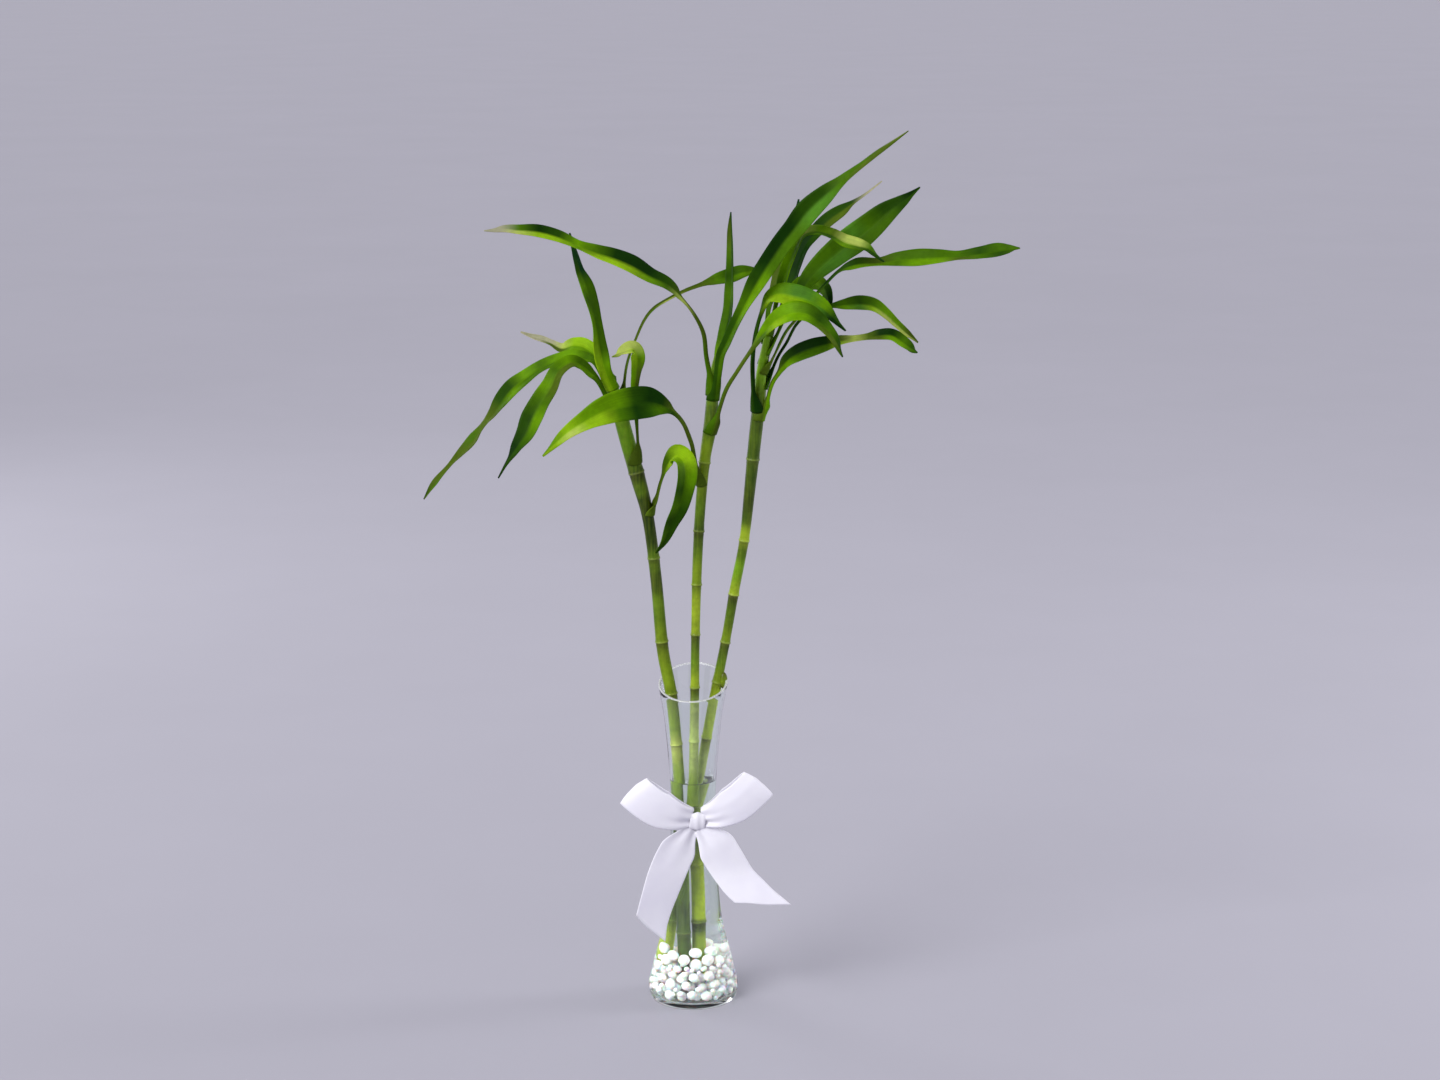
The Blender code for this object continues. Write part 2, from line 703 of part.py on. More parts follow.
def turned(name, profile, collection, material=None):
    """A profile of (radius, height), turned about Z. Its outer side runs top to bottom."""
    bm = bmesh.new()
    verts = [bm.verts.new((radius, 0, height)) for radius, height in profile]
    for a, b in zip(verts, verts[1:]):
        bm.edges.new((a, b))
    obj = add_mesh(name, bm, collection, material)
    screw = obj.modifiers.new("turn", "SCREW")
    screw.steps = VASE_STEPS
    screw.render_steps = VASE_STEPS
    screw.use_merge_vertices = True
    screw.merge_threshold = 0.00005
    return obj


def make_vase(parts, cutters):
    top = VASE_OUTLINE[-1][2]
    inside = cavity_profile(FLOOR_HEIGHT, top, 0, FLOOR_CORNER, VASE_RINGS)
    outside = []
    for place in reversed(even_places(VASE_OUTLINE, VASE_RINGS)):
        spot = on_curve(VASE_OUTLINE, place)
        outside.append((spot.x, spot.z))
    foot = [(outside[-1][0] - 0.0003, 0.006), (FOOT_RADIUS + 0.0016, 0.0018), (FOOT_RADIUS, 0)]
    glass = new_material("vase glass", CLEAR, 0.02, 1.0)
    vase = turned(
        "vase", [(0, FLOOR_HEIGHT), *inside, *outside, *foot, (0, 0)], parts, glass
    )
    bm = bmesh.new()
    bmesh.ops.create_cube(bm, size=0.08)
    bmesh.ops.translate(bm, verts=bm.verts, vec=(0, 0, 0.04))
    for vert in bm.verts:
        vert.co.z += RIM_HEIGHT + RIM_SLOPE_X * vert.co.x + RIM_SLOPE_Y * vert.co.y
    cut(vase, hide(add_mesh("mouth_cutter", bm, cutters)))
    return vase


def make_bed(parts, cutters):
    low = FLOOR_HEIGHT + GAP
    inside = cavity_profile(low, BED_HEIGHT, GAP, FLOOR_CORNER, 3)
    outline = [(0, BED_HEIGHT), *reversed(inside), (0, low)]
    bed = turned("pebble_bed", outline, parts, new_material("pebbles", STONE, 0.5))
    for side in STALKS:
        cut(bed, cutters.objects[f"{side}_cutter"])
    return bed


def make_water(parts, cutters):
    low = PEBBLE_TOP + GAP
    inside = []
    for i in range(11):
        height = WATER_HEIGHT + (low - WATER_HEIGHT) * i / 10
        inside.append((inner_radius(height) - GAP, height))
    outline = [(0, WATER_HEIGHT), *inside, (0, low)]
    water = turned("water", outline, parts, new_material("water", CLEAR, 0.02, 1.0))
    for side in STALKS:
        cut(water, cutters.objects[f"{side}_cutter"])
    return water


def pebble_spots():
    """Centres of the loose pebbles, each dropped until it meets the bed or another."""
    rng = random.Random(PEBBLE_SEED)
    apart = 2 * PEBBLE_RADIUS + GAP
    spots = []
    for _ in range(PEBBLE_TRIES):
        if len(spots) == PEBBLE_COUNT:
            break
        angle = rng.uniform(0, math.tau)
        reach = inner_radius(BED_HEIGHT) * math.sqrt(rng.random())
        spot = Vector((reach * math.cos(angle), reach * math.sin(angle), BED_HEIGHT))
        spot.z += GAP + PEBBLE_RADIUS
        for other in spots:
            across = (other.xy - spot.xy).length
            if across < apart:
                spot.z = max(spot.z, other.z + math.sqrt(apart**2 - across**2))
        wall = inner_radius(spot.z + PEBBLE_RADIUS) - PEBBLE_RADIUS - GAP
        stalks = [
            (stalk_centre(side, spot.z + rise).xy - spot.xy).length
            - stalk_radius(side, spot.z + rise)
            for side in STALKS
            for rise in (-PEBBLE_RADIUS, 0, PEBBLE_RADIUS)
        ]
        beside = RING_SWELL + PEBBLE_RADIUS + GAP
        low_enough = spot.z + PEBBLE_RADIUS < PEBBLE_TOP
        if low_enough and reach < wall and min(stalks) > beside:
            spots.append(spot)
    return spots


def make_pebbles(parts):
    rng = random.Random(PEBBLE_SEED)
    stone = new_material("loose pebbles", STONE, 0.35)
    for i, spot in enumerate(pebble_spots()):
        bm = bmesh.new()
        bmesh.ops.create_icosphere(bm, subdivisions=2, radius=PEBBLE_RADIUS)
        scale = Vector((1, rng.uniform(0.95, 1), rng.uniform(0.95, 1)))
        bmesh.ops.scale(bm, verts=bm.verts, vec=scale)
        pebble = add_mesh(f"pebble_{i + 1:02d}", bm, parts, stone)
        pebble.rotation_euler.z = rng.uniform(0, math.pi)
        pebble.location = spot
        pebble.location.z -= PEBBLE_RADIUS * (1 - scale.z)


# Stalks


def stalk_centre(side, height):
    return at_height(STALKS[side]["route"], height).xyz


def stalk_radius(side, height):
    """It swells at each node."""
    radius = at_height(STALKS[side]["route"], height).w
    for ring in STALKS[side]["rings"]:
        radius += RING_SWELL * max(1 - abs(height - ring) / RING_REACH, 0)
    return radius


def stalk_curve(side, name, collection, extra, material=None):
    route = STALKS[side]["route"]
    length = (Vector(route[-1]) - Vector(route[0])).length
    places = even_places(route, round(length / STALK_STEP))
    spots = [on_curve(route, place) for place in places]
    for ring in STALKS[side]["rings"]:
        nearest = min(range(len(spots)), key=lambda i: abs(spots[i].z - ring))
        spots[nearest] = at_height(route, ring)
    data = bpy.data.curves.new(name, "CURVE")
    data.dimensions = "3D"
    data.bevel_depth = 1.0
    data.bevel_resolution = STALK_SIDES
    data.use_fill_caps = True
    spline = data.splines.new("POLY")
    spline.points.add(len(spots) - 1)
    for point, spot in zip(spline.points, spots):
        point.co = (*spot.xyz, 1)
        point.radius = stalk_radius(side, spot.z) + extra
    return add_object(name, data, collection, material)


def as_mesh(curve):
    """The curve made a mesh that can cut or be cut."""
    graph = bpy.context.evaluated_depsgraph_get()
    mesh = bpy.data.meshes.new_from_object(curve.evaluated_get(graph))
    bm = bmesh.new()
    bm.from_mesh(mesh)
    bmesh.ops.remove_doubles(bm, verts=bm.verts, dist=0.00001)
    bm.to_mesh(mesh)
    bm.free()
    made = bpy.data.objects.new(curve.name + "_cutter", mesh)
    made.matrix_world = curve.matrix_world
    curve.users_collection[0].objects.link(made)
    bpy.data.objects.remove(curve)
    return made


def make_stalks(parts, cutters):
    for side in STALKS:
        cane = new_material(f"cane {side}", CANE, 0.35)
        stalk_curve(side, f"stalk_{side}", parts, 0, cane)
        hide(as_mesh(stalk_curve(side, side, cutters, GAP)))


# Leaves and ribbon: a grid laid along a curve, then given its thickness


def smooth(share):
    share = min(max(share, 0), 1)
    return share * share * (3 - 2 * share)


def lay_strip(name, route, rows, across_at, width_at, keel, slant, collection, material):
    """The grid's long side follows the route. across_at gives the way that its width runs,
    and slant the share of the length by which its end is cut askew."""
    places = even_places(route, rows)
    bm = bmesh.new()
    bmesh.ops.create_grid(bm, x_segments=2, y_segments=rows, size=1)
    for vert in bm.verts:
        side = vert.co.x
        share = (vert.co.y + 1) / 2
        share *= 1 - abs(slant) / 2 + slant * side / 2
        place = between(places, share * rows)
        step = 0.02
        ahead = on_curve(route, min(place + step, len(route) - 1))
        along = (ahead - on_curve(route, max(place - step, 0))).normalized()
        across = across_at(place, share, along)
        width = width_at(place, share)
        vert.co = on_curve(route, place) + across * side * width / 2
        vert.co += across.cross(along) * (abs(side) - 0.5) * keel * width
    return add_mesh(name, bm, collection, material)


def thicken(strip, thickness):
    solidify = strip.modifiers.new("thickness", "SOLIDIFY")
    solidify.thickness = thickness
    solidify.offset = 0


def face_at(along, turn, leans):
    """The way that a face looks, turned from the front, 0, towards its upper side."""
    front = (FRONT - along * FRONT.dot(along)).normalized()
    upper = front.cross(along) if leans > 0 else along.cross(front)
    angle = math.radians(turn)
    return front * math.cos(angle) + upper * math.sin(angle)


def make_leaf(name, leaf, parts):
    foot = stalk_centre(leaf["stalk"], leaf["height"])
    axis = (stalk_centre(leaf["stalk"], leaf["height"] + 0.004) - foot).normalized()
    path = leaf["path"]
    out = Vector(path[0][:3]) - foot
    out = (out - axis * out.dot(axis)).normalized()
    radius = stalk_radius(leaf["stalk"], leaf["height"])
    start = foot + out * (radius + LEAF_THICKNESS / 2 + GAP)
    route = [start, *(Vector(point[:3]) for point in path)]
    shapes = [(STALKED_WIDTH, path[0][4]), *(point[3:] for point in path)]
    leans = route[-1].x - start.x

    def across_at(place, share, along):
        face = face_at(along, on_curve(shapes, place)[1], leans)
        first = out if out.dot(face) > 0 else -out
        face = first.lerp(face, smooth(share / BASE_BLEND))
        return along.cross(face).normalized()

    def width_at(place, share):
        return max(on_curve(shapes, place)[0], TIP_WIDTH)

    green = new_material(name, GREEN, 0.4)
    strip = lay_strip(name, route, LEAF_ROWS, across_at, width_at, LEAF_KEEL, 0, parts, green)
    thicken(strip, LEAF_THICKNESS)


# Ribbon


def make_band(parts, satin):
    low, high = WAIST_HEIGHT - BAND_HEIGHT / 2, WAIST_HEIGHT + BAND_HEIGHT / 2
    inside = max(outer_radius(low), outer_radius(high)) + BAND_CLEARANCE
    outside = inside + RIBBON_THICKNESS
    outline = [(outside, high), (outside, low), (inside, low), (inside, high), (outside, high)]
    turned("ribbon_band", outline, parts, satin)


def make_knot(parts, satin):
    bm = bmesh.new()
    bmesh.ops.create_cube(bm, size=1)
    bmesh.ops.scale(bm, verts=bm.verts, vec=KNOT_SIZE)
    knot = add_mesh("ribbon_knot", bm, parts, satin)
    knot.location = KNOT_CENTRE
    bevel = knot.modifiers.new("soft edges", "BEVEL")
    bevel.width = 0.0018
    bevel.segments = 2


def make_loop(name, loop, parts, satin):
    """It runs out of the knot in front, round its end and back behind, and sags a little."""
    out = Vector((loop["reach"][0], 0, loop["reach"][1]))
    span = out * (1 - loop["root"] / out.length)
    root = Vector(KNOT_CENTRE) + out - span
    sag = Vector((0, 0, loop["sag"]))
    route = []
    for share, depth in LOOP_SECTION:
        hang = sag * math.sin(math.pi * share)
        route.append(root + span * share - hang + FRONT * depth)

    def across_at(place, share, along):
        outward = 1 - abs(2 * share - 1)
        ahead = span - sag * math.pi * math.cos(math.pi * outward)
        return FRONT.cross(ahead).normalized()

    def width_at(place, share):
        spread = min(math.sin(math.pi * share) * 1.5, 1)
        return LOOP_ROOT_WIDTH + (LOOP_WIDTH - LOOP_ROOT_WIDTH) * spread

    strip = lay_strip(name, route, LOOP_ROWS, across_at, width_at, 0, 0, parts, satin)
    thicken(strip, RIBBON_THICKNESS)


def make_tail(name, tail, parts, satin):
    first, last = tail["turn"]

    def across_at(place, share, along):
        return along.cross(face_at(along, first + (last - first) * smooth(share), 1))

    def width_at(place, share):
        spread = smooth(share * TAIL_SPREAD)
        return TAIL_ROOT_WIDTH + (RIBBON_WIDTH - TAIL_ROOT_WIDTH) * spread

    strip = lay_strip(
        name, tail["route"], TAIL_ROWS, across_at, width_at, 0, tail["slant"], parts, satin
    )
    thicken(strip, RIBBON_THICKNESS)


def make_ribbon(parts):
    satin = new_material("satin", SATIN, 0.4)
    make_band(parts, satin)
    make_knot(parts, satin)
    for name, loop in LOOPS.items():
        make_loop(name, loop, parts, satin)
    for name, tail in TAILS.items():
        make_tail(name, tail, parts, satin)


def main():
    clear_scene()
    parts = new_collection("bamboo_in_vase")
    cutters = new_collection("cutters")
    cutters.hide_render = True
    make_stalks(parts, cutters)
    make_vase(parts, cutters)
    make_bed(parts, cutters)
    make_water(parts, cutters)
    make_pebbles(parts)
    make_ribbon(parts)
    for name, leaf in LEAVES.items():
        make_leaf(name, leaf, parts)


main()
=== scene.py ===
import math
import random

import bmesh
import bpy
from mathutils import Matrix, Vector, noise


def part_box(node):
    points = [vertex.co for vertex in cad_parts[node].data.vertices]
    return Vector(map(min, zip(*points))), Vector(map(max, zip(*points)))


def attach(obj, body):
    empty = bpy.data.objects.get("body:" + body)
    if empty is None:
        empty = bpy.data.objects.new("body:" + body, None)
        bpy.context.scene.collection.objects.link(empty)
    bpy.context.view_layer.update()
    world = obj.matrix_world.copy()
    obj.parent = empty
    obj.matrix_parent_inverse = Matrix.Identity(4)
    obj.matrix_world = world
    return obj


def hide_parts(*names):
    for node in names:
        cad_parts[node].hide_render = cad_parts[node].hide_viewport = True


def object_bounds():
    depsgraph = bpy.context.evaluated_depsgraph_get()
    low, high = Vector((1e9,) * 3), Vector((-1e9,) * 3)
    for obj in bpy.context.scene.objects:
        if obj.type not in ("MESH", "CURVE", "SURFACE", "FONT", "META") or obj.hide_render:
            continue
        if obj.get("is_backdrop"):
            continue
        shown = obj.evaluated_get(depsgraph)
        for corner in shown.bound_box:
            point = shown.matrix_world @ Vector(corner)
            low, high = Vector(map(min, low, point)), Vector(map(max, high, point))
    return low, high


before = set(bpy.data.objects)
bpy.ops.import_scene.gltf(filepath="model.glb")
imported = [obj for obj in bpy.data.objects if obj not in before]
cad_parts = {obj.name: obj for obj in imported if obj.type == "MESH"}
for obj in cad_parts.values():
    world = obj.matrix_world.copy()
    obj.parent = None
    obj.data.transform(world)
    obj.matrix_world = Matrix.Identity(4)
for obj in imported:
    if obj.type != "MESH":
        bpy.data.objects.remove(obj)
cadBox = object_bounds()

front = Vector((0, -1, 0))
up = Vector((0, 0, 1))
clearGap = 0.0003  # kept between neighbours that touch
mergeGap = 0.00001  # points nearer than this are one


def inMetres(rows, lengths):
    # the first so many values of each row are lengths
    return [(*(value / 1000 for value in row[:lengths]), *row[lengths:]) for row in rows]


def camelName(node):
    first, *rest = node.split("_")
    return first + "".join(word.capitalize() for word in rest)


def finishPiece(node, bm, materials, sharpAngle, name=None):
    # the mesh becomes a piece that rides on the body and stands for its solid
    name = name or camelName(node)
    mesh = bpy.data.meshes.new(name)
    bm.to_mesh(mesh)
    bm.free()
    mesh.shade_smooth()
    mesh.set_sharp_from_angle(angle=math.radians(sharpAngle))
    for material in materials:
        mesh.materials.append(material)
    piece = bpy.data.objects.new(name, mesh)
    bpy.context.scene.collection.objects.link(piece)
    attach(piece, "root")
    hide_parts(node)
    return piece


def giveThickness(piece, thickness, offset=0, backMaterial=0):
    shell = piece.modifiers.new("thickness", "SOLIDIFY")
    shell.thickness = thickness
    shell.offset = offset
    shell.material_offset = backMaterial


def flatGrid(cols, rows):
    # from -1 to 1 both ways, with its own UV square
    bm = bmesh.new()
    bm.loops.layers.uv.verify()
    bmesh.ops.create_grid(bm, x_segments=cols, y_segments=rows, size=1, calc_uvs=True)
    return bm


def faceOut(bm):
    # a closed shell's faces all made to look outwards
    bmesh.ops.remove_doubles(bm, verts=bm.verts, dist=mergeGap)
    bmesh.ops.recalc_face_normals(bm, faces=bm.faces)
    if bm.calc_volume(signed=True) < 0:
        bmesh.ops.reverse_faces(bm, faces=bm.faces)


def smooth(share):
    share = min(max(share, 0), 1)
    return share * share * (3 - 2 * share)


def bell(distance, reach):
    return math.exp(-((distance / reach) ** 2))


def onCurve(points, place):
    # the point at this place on a smooth curve: 0 is the first point and 1 the second
    last = len(points) - 1
    span = min(int(place), last - 1)
    u = place - span
    near = (points[min(max(span + i, 0), last)] for i in (-1, 0, 1, 2))
    before, start, end, after = (Vector(point) for point in near)
    if span == 0:
        before = start * 2 - end
    if span == last - 1:
        after = end * 2 - start
    return 0.5 * (
        start * 2
        + (end - before) * u
        + (before * 2 - start * 5 + end * 4 - after) * u**2
        + (start * 3 - before - end * 3 + after) * u**3
    )


def between(values, place):
    span = min(int(place), len(values) - 2)
    return values[span] + (values[span + 1] - values[span]) * (place - span)


def atHeight(points, height):
    # the point at this height on a curve that rises all the way
    low, high = 0.0, len(points) - 1.0
    halvings = 30
    for _ in range(halvings):
        middle = (low + high) / 2
        if onCurve(points, middle).z < height:
            low = middle
        else:
            high = middle
    return onCurve(points, low)


def evenPlaces(points, count):
    # places that part the curve into stretches of equal length
    fine = 24  # steps between two points
    places = [i / fine for i in range(fine * (len(points) - 1) + 1)]
    found = [onCurve(points, place) for place in places]
    lengths = [0.0]
    for a, b in zip(found, found[1:]):
        lengths.append(lengths[-1] + (b - a).length)
    even = [0.0]
    i = 0
    for step in range(1, count):
        target = lengths[-1] * step / count
        while lengths[i + 1] < target:
            i += 1
        share = (target - lengths[i]) / (lengths[i + 1] - lengths[i])
        even.append((i + share) / fine)
    return [*even, len(points) - 1.0]


def lengthOf(points, places):
    return sum((onCurve(points, b) - onCurve(points, a)).length for a, b in zip(places, places[1:]))


def alongAt(route, place):
    step = 0.02
    ahead = onCurve(route, min(place + step, len(route) - 1))
    return (ahead - onCurve(route, max(place - step, 0))).normalized()


def faceAt(along, turn, leans):
    # the way a face looks: turned from the front, 0, towards its upper side, 90
    ahead = (front - along * front.dot(along)).normalized()
    upper = ahead.cross(along) if leans > 0 else along.cross(ahead)
    angle = math.radians(turn)
    return ahead * math.cos(angle) + upper * math.sin(angle)


def newMaterial(name):
    material = bpy.data.materials.new(name)
    material.use_nodes = True
    tree = material.node_tree
    return material, tree, tree.nodes["Principled BSDF"]


def setSockets(tree, node, values):
    for socket, value in values.items():
        if isinstance(value, bpy.types.NodeSocket):
            tree.links.new(value, node.inputs[socket])
        else:
            node.inputs[socket].default_value = value


def addNode(tree, kind, values, **settings):
    node = tree.nodes.new("ShaderNode" + kind)
    for key, value in settings.items():
        setattr(node, key, value)
    setSockets(tree, node, values)
    return node.outputs


def calc(tree, operation, first, second=0.0):
    return addNode(tree, "Math", {0: first, 1: second}, operation=operation)[0]


def blended(tree, *parts):
    # the values added up, each times its share
    total = 0.0
    for value, share in parts:
        total = calc(tree, "ADD", calc(tree, "MULTIPLY", value, share), total)
    return total


def mapTo(tree, value, fromLow, fromHigh, toLow=0.0, toHigh=1.0):
    return addNode(tree, "MapRange", {0: value, 1: fromLow, 2: fromHigh, 3: toLow, 4: toHigh})[0]


def mixColour(tree, factor, first, second, blend="MIX"):
    values = {0: factor, 6: first, 7: second}
    return addNode(tree, "Mix", values, data_type="RGBA", blend_type=blend)[2]


def scaled(tree, vector, scale):
    return addNode(tree, "Mapping", {"Vector": vector, "Scale": scale})[0]


def noiseOf(tree, vector, scale, detail):
    return addNode(tree, "TexNoise", {"Vector": vector, "Scale": scale, "Detail": detail})[0]


def bumpOf(tree, height, strength, distance):
    return addNode(tree, "Bump", {"Strength": strength, "Distance": distance, "Height": height})[0]


def coordinates(tree, kind="Object"):
    return addNode(tree, "TexCoord", {})[kind]


def toneOf(tree):
    # the greens that the maker laid on the mesh, partly painted light and shade on the leaves and canes
    return addNode(tree, "Attribute", {}, attribute_name="tone")["Color"]


def lightened(tree, colour, value):
    lit = addNode(tree, "CombineXYZ", {0: value, 1: value, 2: value})[0]
    return mixColour(tree, 1.0, colour, lit, "MULTIPLY")


def mixShaders(tree, share, first, second):
    mix = addNode(tree, "MixShader", {0: share, 1: first, 2: second})[0]
    tree.links.new(mix, tree.nodes["Material Output"].inputs["Surface"])


def letLampsThrough(tree, shader, share):
    # the lamps' light passes, and only a little of it is held back
    path = addNode(tree, "LightPath", {})["Is Shadow Ray"]
    clear = addNode(tree, "BsdfTransparent", {"Color": (share, share, share, 1)})[0]
    mixShaders(tree, path, shader.outputs[0], clear)


def letLightSoak(tree, shader, colour, share):
    # a thin leaf or ribbon glows a little when the light is behind it
    soak = addNode(tree, "BsdfTranslucent", {"Color": colour})[0]
    mixShaders(tree, share, shader.outputs[0], soak)


def newGroup(name, inputs, outputs):
    group = bpy.data.node_groups.new(name, "ShaderNodeTree")
    for sockets, way in ((inputs, "INPUT"), (outputs, "OUTPUT")):
        for label, kind in sockets.items():
            group.interface.new_socket(label, in_out=way, socket_type="NodeSocket" + kind)
    given = group.nodes.new("NodeGroupInput").outputs
    return group, given, group.nodes.new("NodeGroupOutput")


def placeGroup(tree, group, values):
    return addNode(tree, "Group", values, node_tree=group)


def cloudGroup():
    # two sizes of soft cloudy patches, for colour and shine that aren't quite even
    inputs = {"Spot": "Vector", "Size": "Float", "Low": "Float", "High": "Float"}
    group, given, result = newGroup("clouds", inputs, {"Value": "Float"})
    finer = calc(group, "MULTIPLY", given["Size"], 5.3)  # how much finer the small ones are
    large = noiseOf(group, given["Spot"], given["Size"], 2)
    small = noiseOf(group, given["Spot"], finer, 4)
    both = blended(group, (large, 0.65), (small, 0.35))
    spread = mapTo(group, both, 0.35, 0.65, given["Low"], given["High"])
    setSockets(group, result, {"Value": spread})
    return group


clouds = cloudGroup()


def cloudy(tree, size, low, high):
    # patches over a piece: how fine they are, and their least and most value
    values = {"Spot": coordinates(tree), "Size": size, "Low": low, "High": high}
    return placeGroup(tree, clouds, values)["Value"]


# the camera, the pale room and its lights
studio = dict(
    place=(0.0172, -1.7408, 0.6649),
    pitch=78.2,
    lens=71.0,
    wall=(0.88, 0.87, 0.95),
    wallStrength=0.72,
    floor=(0.365, 0.357, 0.410),
    floorShade=0.97,  # the darker patches of the floor
    floorRoughness=0.7,
    floorReach=40.0,
    floorDrop=0.0002,
    sunFrom=(-0.62, -0.62, 0.60),
    sunSpread=35,  # degrees across, for soft shadows
    sunPower=2.5,
    lampsAim=(0, 0, 0.15),
    # name: place, width, height, watts
    lamps={
        "leftPanel": ((-1.65, 1.36, 0.78), 0.6, 1.2, 10.5),
        "rightPanel": ((1.90, 0.36, 0.74), 0.45, 1.2, 15.0),
    },
)


def placeAimed(name, data, place, ahead):
    item = bpy.data.objects.new(name, data)
    item.location = place
    item.rotation_euler = ahead.to_track_quat("-Z", "Y").to_euler()
    bpy.context.scene.collection.objects.link(item)


def makeStudio():
    scene = bpy.context.scene
    scene.view_settings.view_transform = "Standard"
    lens = bpy.data.cameras.new("camera")
    lens.lens = studio["lens"]
    lens.sensor_width = 36
    camera = bpy.data.objects.new("camera", lens)
    camera.location = studio["place"]
    camera.rotation_euler = (math.radians(studio["pitch"]), 0, 0)
    scene.collection.objects.link(camera)
    scene.camera = camera
    scene.world = bpy.data.worlds.new("room")
    scene.world.use_nodes = True
    sky = scene.world.node_tree.nodes["Background"]
    sky.inputs["Color"].default_value = (*studio["wall"], 1)
    sky.inputs["Strength"].default_value = studio["wallStrength"]
    sun = bpy.data.lights.new("softSun", "SUN")
    sun.angle = math.radians(studio["sunSpread"])
    sun.energy = studio["sunPower"]
    placeAimed("softSun", sun, (0, 0, 0), -Vector(studio["sunFrom"]))
    for name, (place, wide, tall, power) in studio["lamps"].items():
        light = bpy.data.lights.new(name, "AREA")
        light.shape = "RECTANGLE"
        light.size = wide
        light.size_y = tall
        light.energy = power
        placeAimed(name, light, place, Vector(studio["lampsAim"]) - Vector(place))


def makeFloor():
    material, tree, shader = newMaterial("paleFloor")
    light = studio["floor"]
    dark = [value * studio["floorShade"] for value in light]
    shade = mixColour(tree, cloudy(tree, 2.0, 0.0, 1.0), (*dark, 1), (*light, 1))
    setSockets(tree, shader, {"Base Color": shade, "Roughness": studio["floorRoughness"]})
    bm = bmesh.new()
    bmesh.ops.create_grid(bm, x_segments=8, y_segments=8, size=studio["floorReach"])
    bmesh.ops.translate(bm, verts=bm.verts, vec=(0, 0, -studio["floorDrop"]))
    mesh = bpy.data.meshes.new("floor")
    bm.to_mesh(mesh)
    bm.free()
    mesh.materials.append(material)
    floor = bpy.data.objects.new("floor", mesh)
    bpy.context.scene.collection.objects.link(floor)
    floor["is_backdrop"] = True


# In each dictionary three numbers for patches, smears or polish are how fine they are and their
# least and most value, and two for a bump are its strength and depth.
vase = dict(
    # outer radius and height, from the foot up past the slanted mouth
    outline=inMetres(
        [
            (28.8, 0, 10), (25.5, 0, 24), (22.3, 0, 37), (19, 0, 50), (16.9, 0, 67), (15.3, 0, 90),
            (14.3, 0, 118), (15.1, 0, 150), (18.2, 0, 185), (21.4, 0, 205), (23.8, 0, 222),
        ],
        3,
    ),
    # the same round the heel and under the foot
    foot=inMetres(
        [
            (28.9, 7.5), (28.5, 5), (27.8, 2.4), (27.1, 0.8), (26, 0), (22, 0), (20, 0.7), (14, 1.4),
            (0, 1.8),
        ],
        2,
    ),
    floorHeight=0.0030,
    floorCorner=0.006,
    cornerRings=6,
    wall=0.0015,
    footWall=0.0030,  # thicker glass low down
    footTop=0.045,
    mouthHeight=0.209,  # at the middle of the slanted mouth
    riseRight=0.042,
    riseBack=0.337,
    lipRound=0.00055,
    sides=96,
    rings=40,
    bends=1.5,
    glassTint=(0.95, 0.985, 0.975, 1),
    glassSmears=(45.0, 0.0, 0.035),
    glassWaves=70.0,
    glassStretch=(1, 1, 0.5),
    glassBump=(0.25, 0.0004),
    glassPasses=0.93,
    # the lip's whitish colour is partly ground glass and partly painted highlight along the rim
    lipTint=(0.95, 0.97, 0.97, 1),
    lipClear=0.55,
    lipGrinding=(220.0, 0.15, 0.35),
    lipPasses=0.9,
)


def vaseGlass():
    material, tree, shader = newMaterial("vaseGlass")
    stretched = scaled(tree, coordinates(tree), vase["glassStretch"])
    waves = noiseOf(tree, stretched, vase["glassWaves"], 1)
    values = {
        "Base Color": vase["glassTint"],
        "IOR": vase["bends"],
        "Transmission Weight": 1.0,
        "Roughness": cloudy(tree, *vase["glassSmears"]),
        "Normal": bumpOf(tree, waves, *vase["glassBump"]),
    }
    setSockets(tree, shader, values)
    letLampsThrough(tree, shader, vase["glassPasses"])
    return material


def lipGlass():
    # the ground edge of the mouth, a little rough and whitish: partly ground glass, partly painted
    # highlight for the bright line along the rim
    material, tree, shader = newMaterial("lipGlass")
    values = {
        "Base Color": vase["lipTint"],
        "IOR": vase["bends"],
        "Transmission Weight": vase["lipClear"],
        "Roughness": cloudy(tree, *vase["lipGrinding"]),
    }
    setSockets(tree, shader, values)
    letLampsThrough(tree, shader, vase["lipPasses"])
    return material


def outerRadius(height):
    return atHeight(vase["outline"], height).x


def innerRadius(height):
    share = min(max(1 - height / vase["footTop"], 0), 1)
    return outerRadius(height) - vase["wall"] - (vase["footWall"] - vase["wall"]) * share


def insideProfile(low, high, inset, rings):
    # radius and height up the inside, from a rounded corner at the floor
    corner = vase["floorCorner"]
    edge = innerRadius(low + corner) - inset
    profile = []
    for i in range(vase["cornerRings"] + 1):
        angle = math.radians(90 * i / vase["cornerRings"])
        radius = edge - corner + corner * math.sin(angle)
        profile.append((radius, low + corner - corner * math.cos(angle)))
    for i in range(1, rings + 1):
        height = low + corner + (high - low - corner) * i / rings
        profile.append((innerRadius(height) - inset, height))
    return profile


def spun(profile, sides):
    bm = bmesh.new()
    verts = [bm.verts.new((radius, 0, height)) for radius, height in profile]
    edges = [bm.edges.new(pair) for pair in zip(verts, verts[1:])]
    bmesh.ops.spin(
        bm,
        geom=verts + edges,
        cent=(0, 0, 0),
        axis=up,
        angle=math.tau,
        steps=sides,
        use_merge=True,
    )
    faceOut(bm)
    return bm


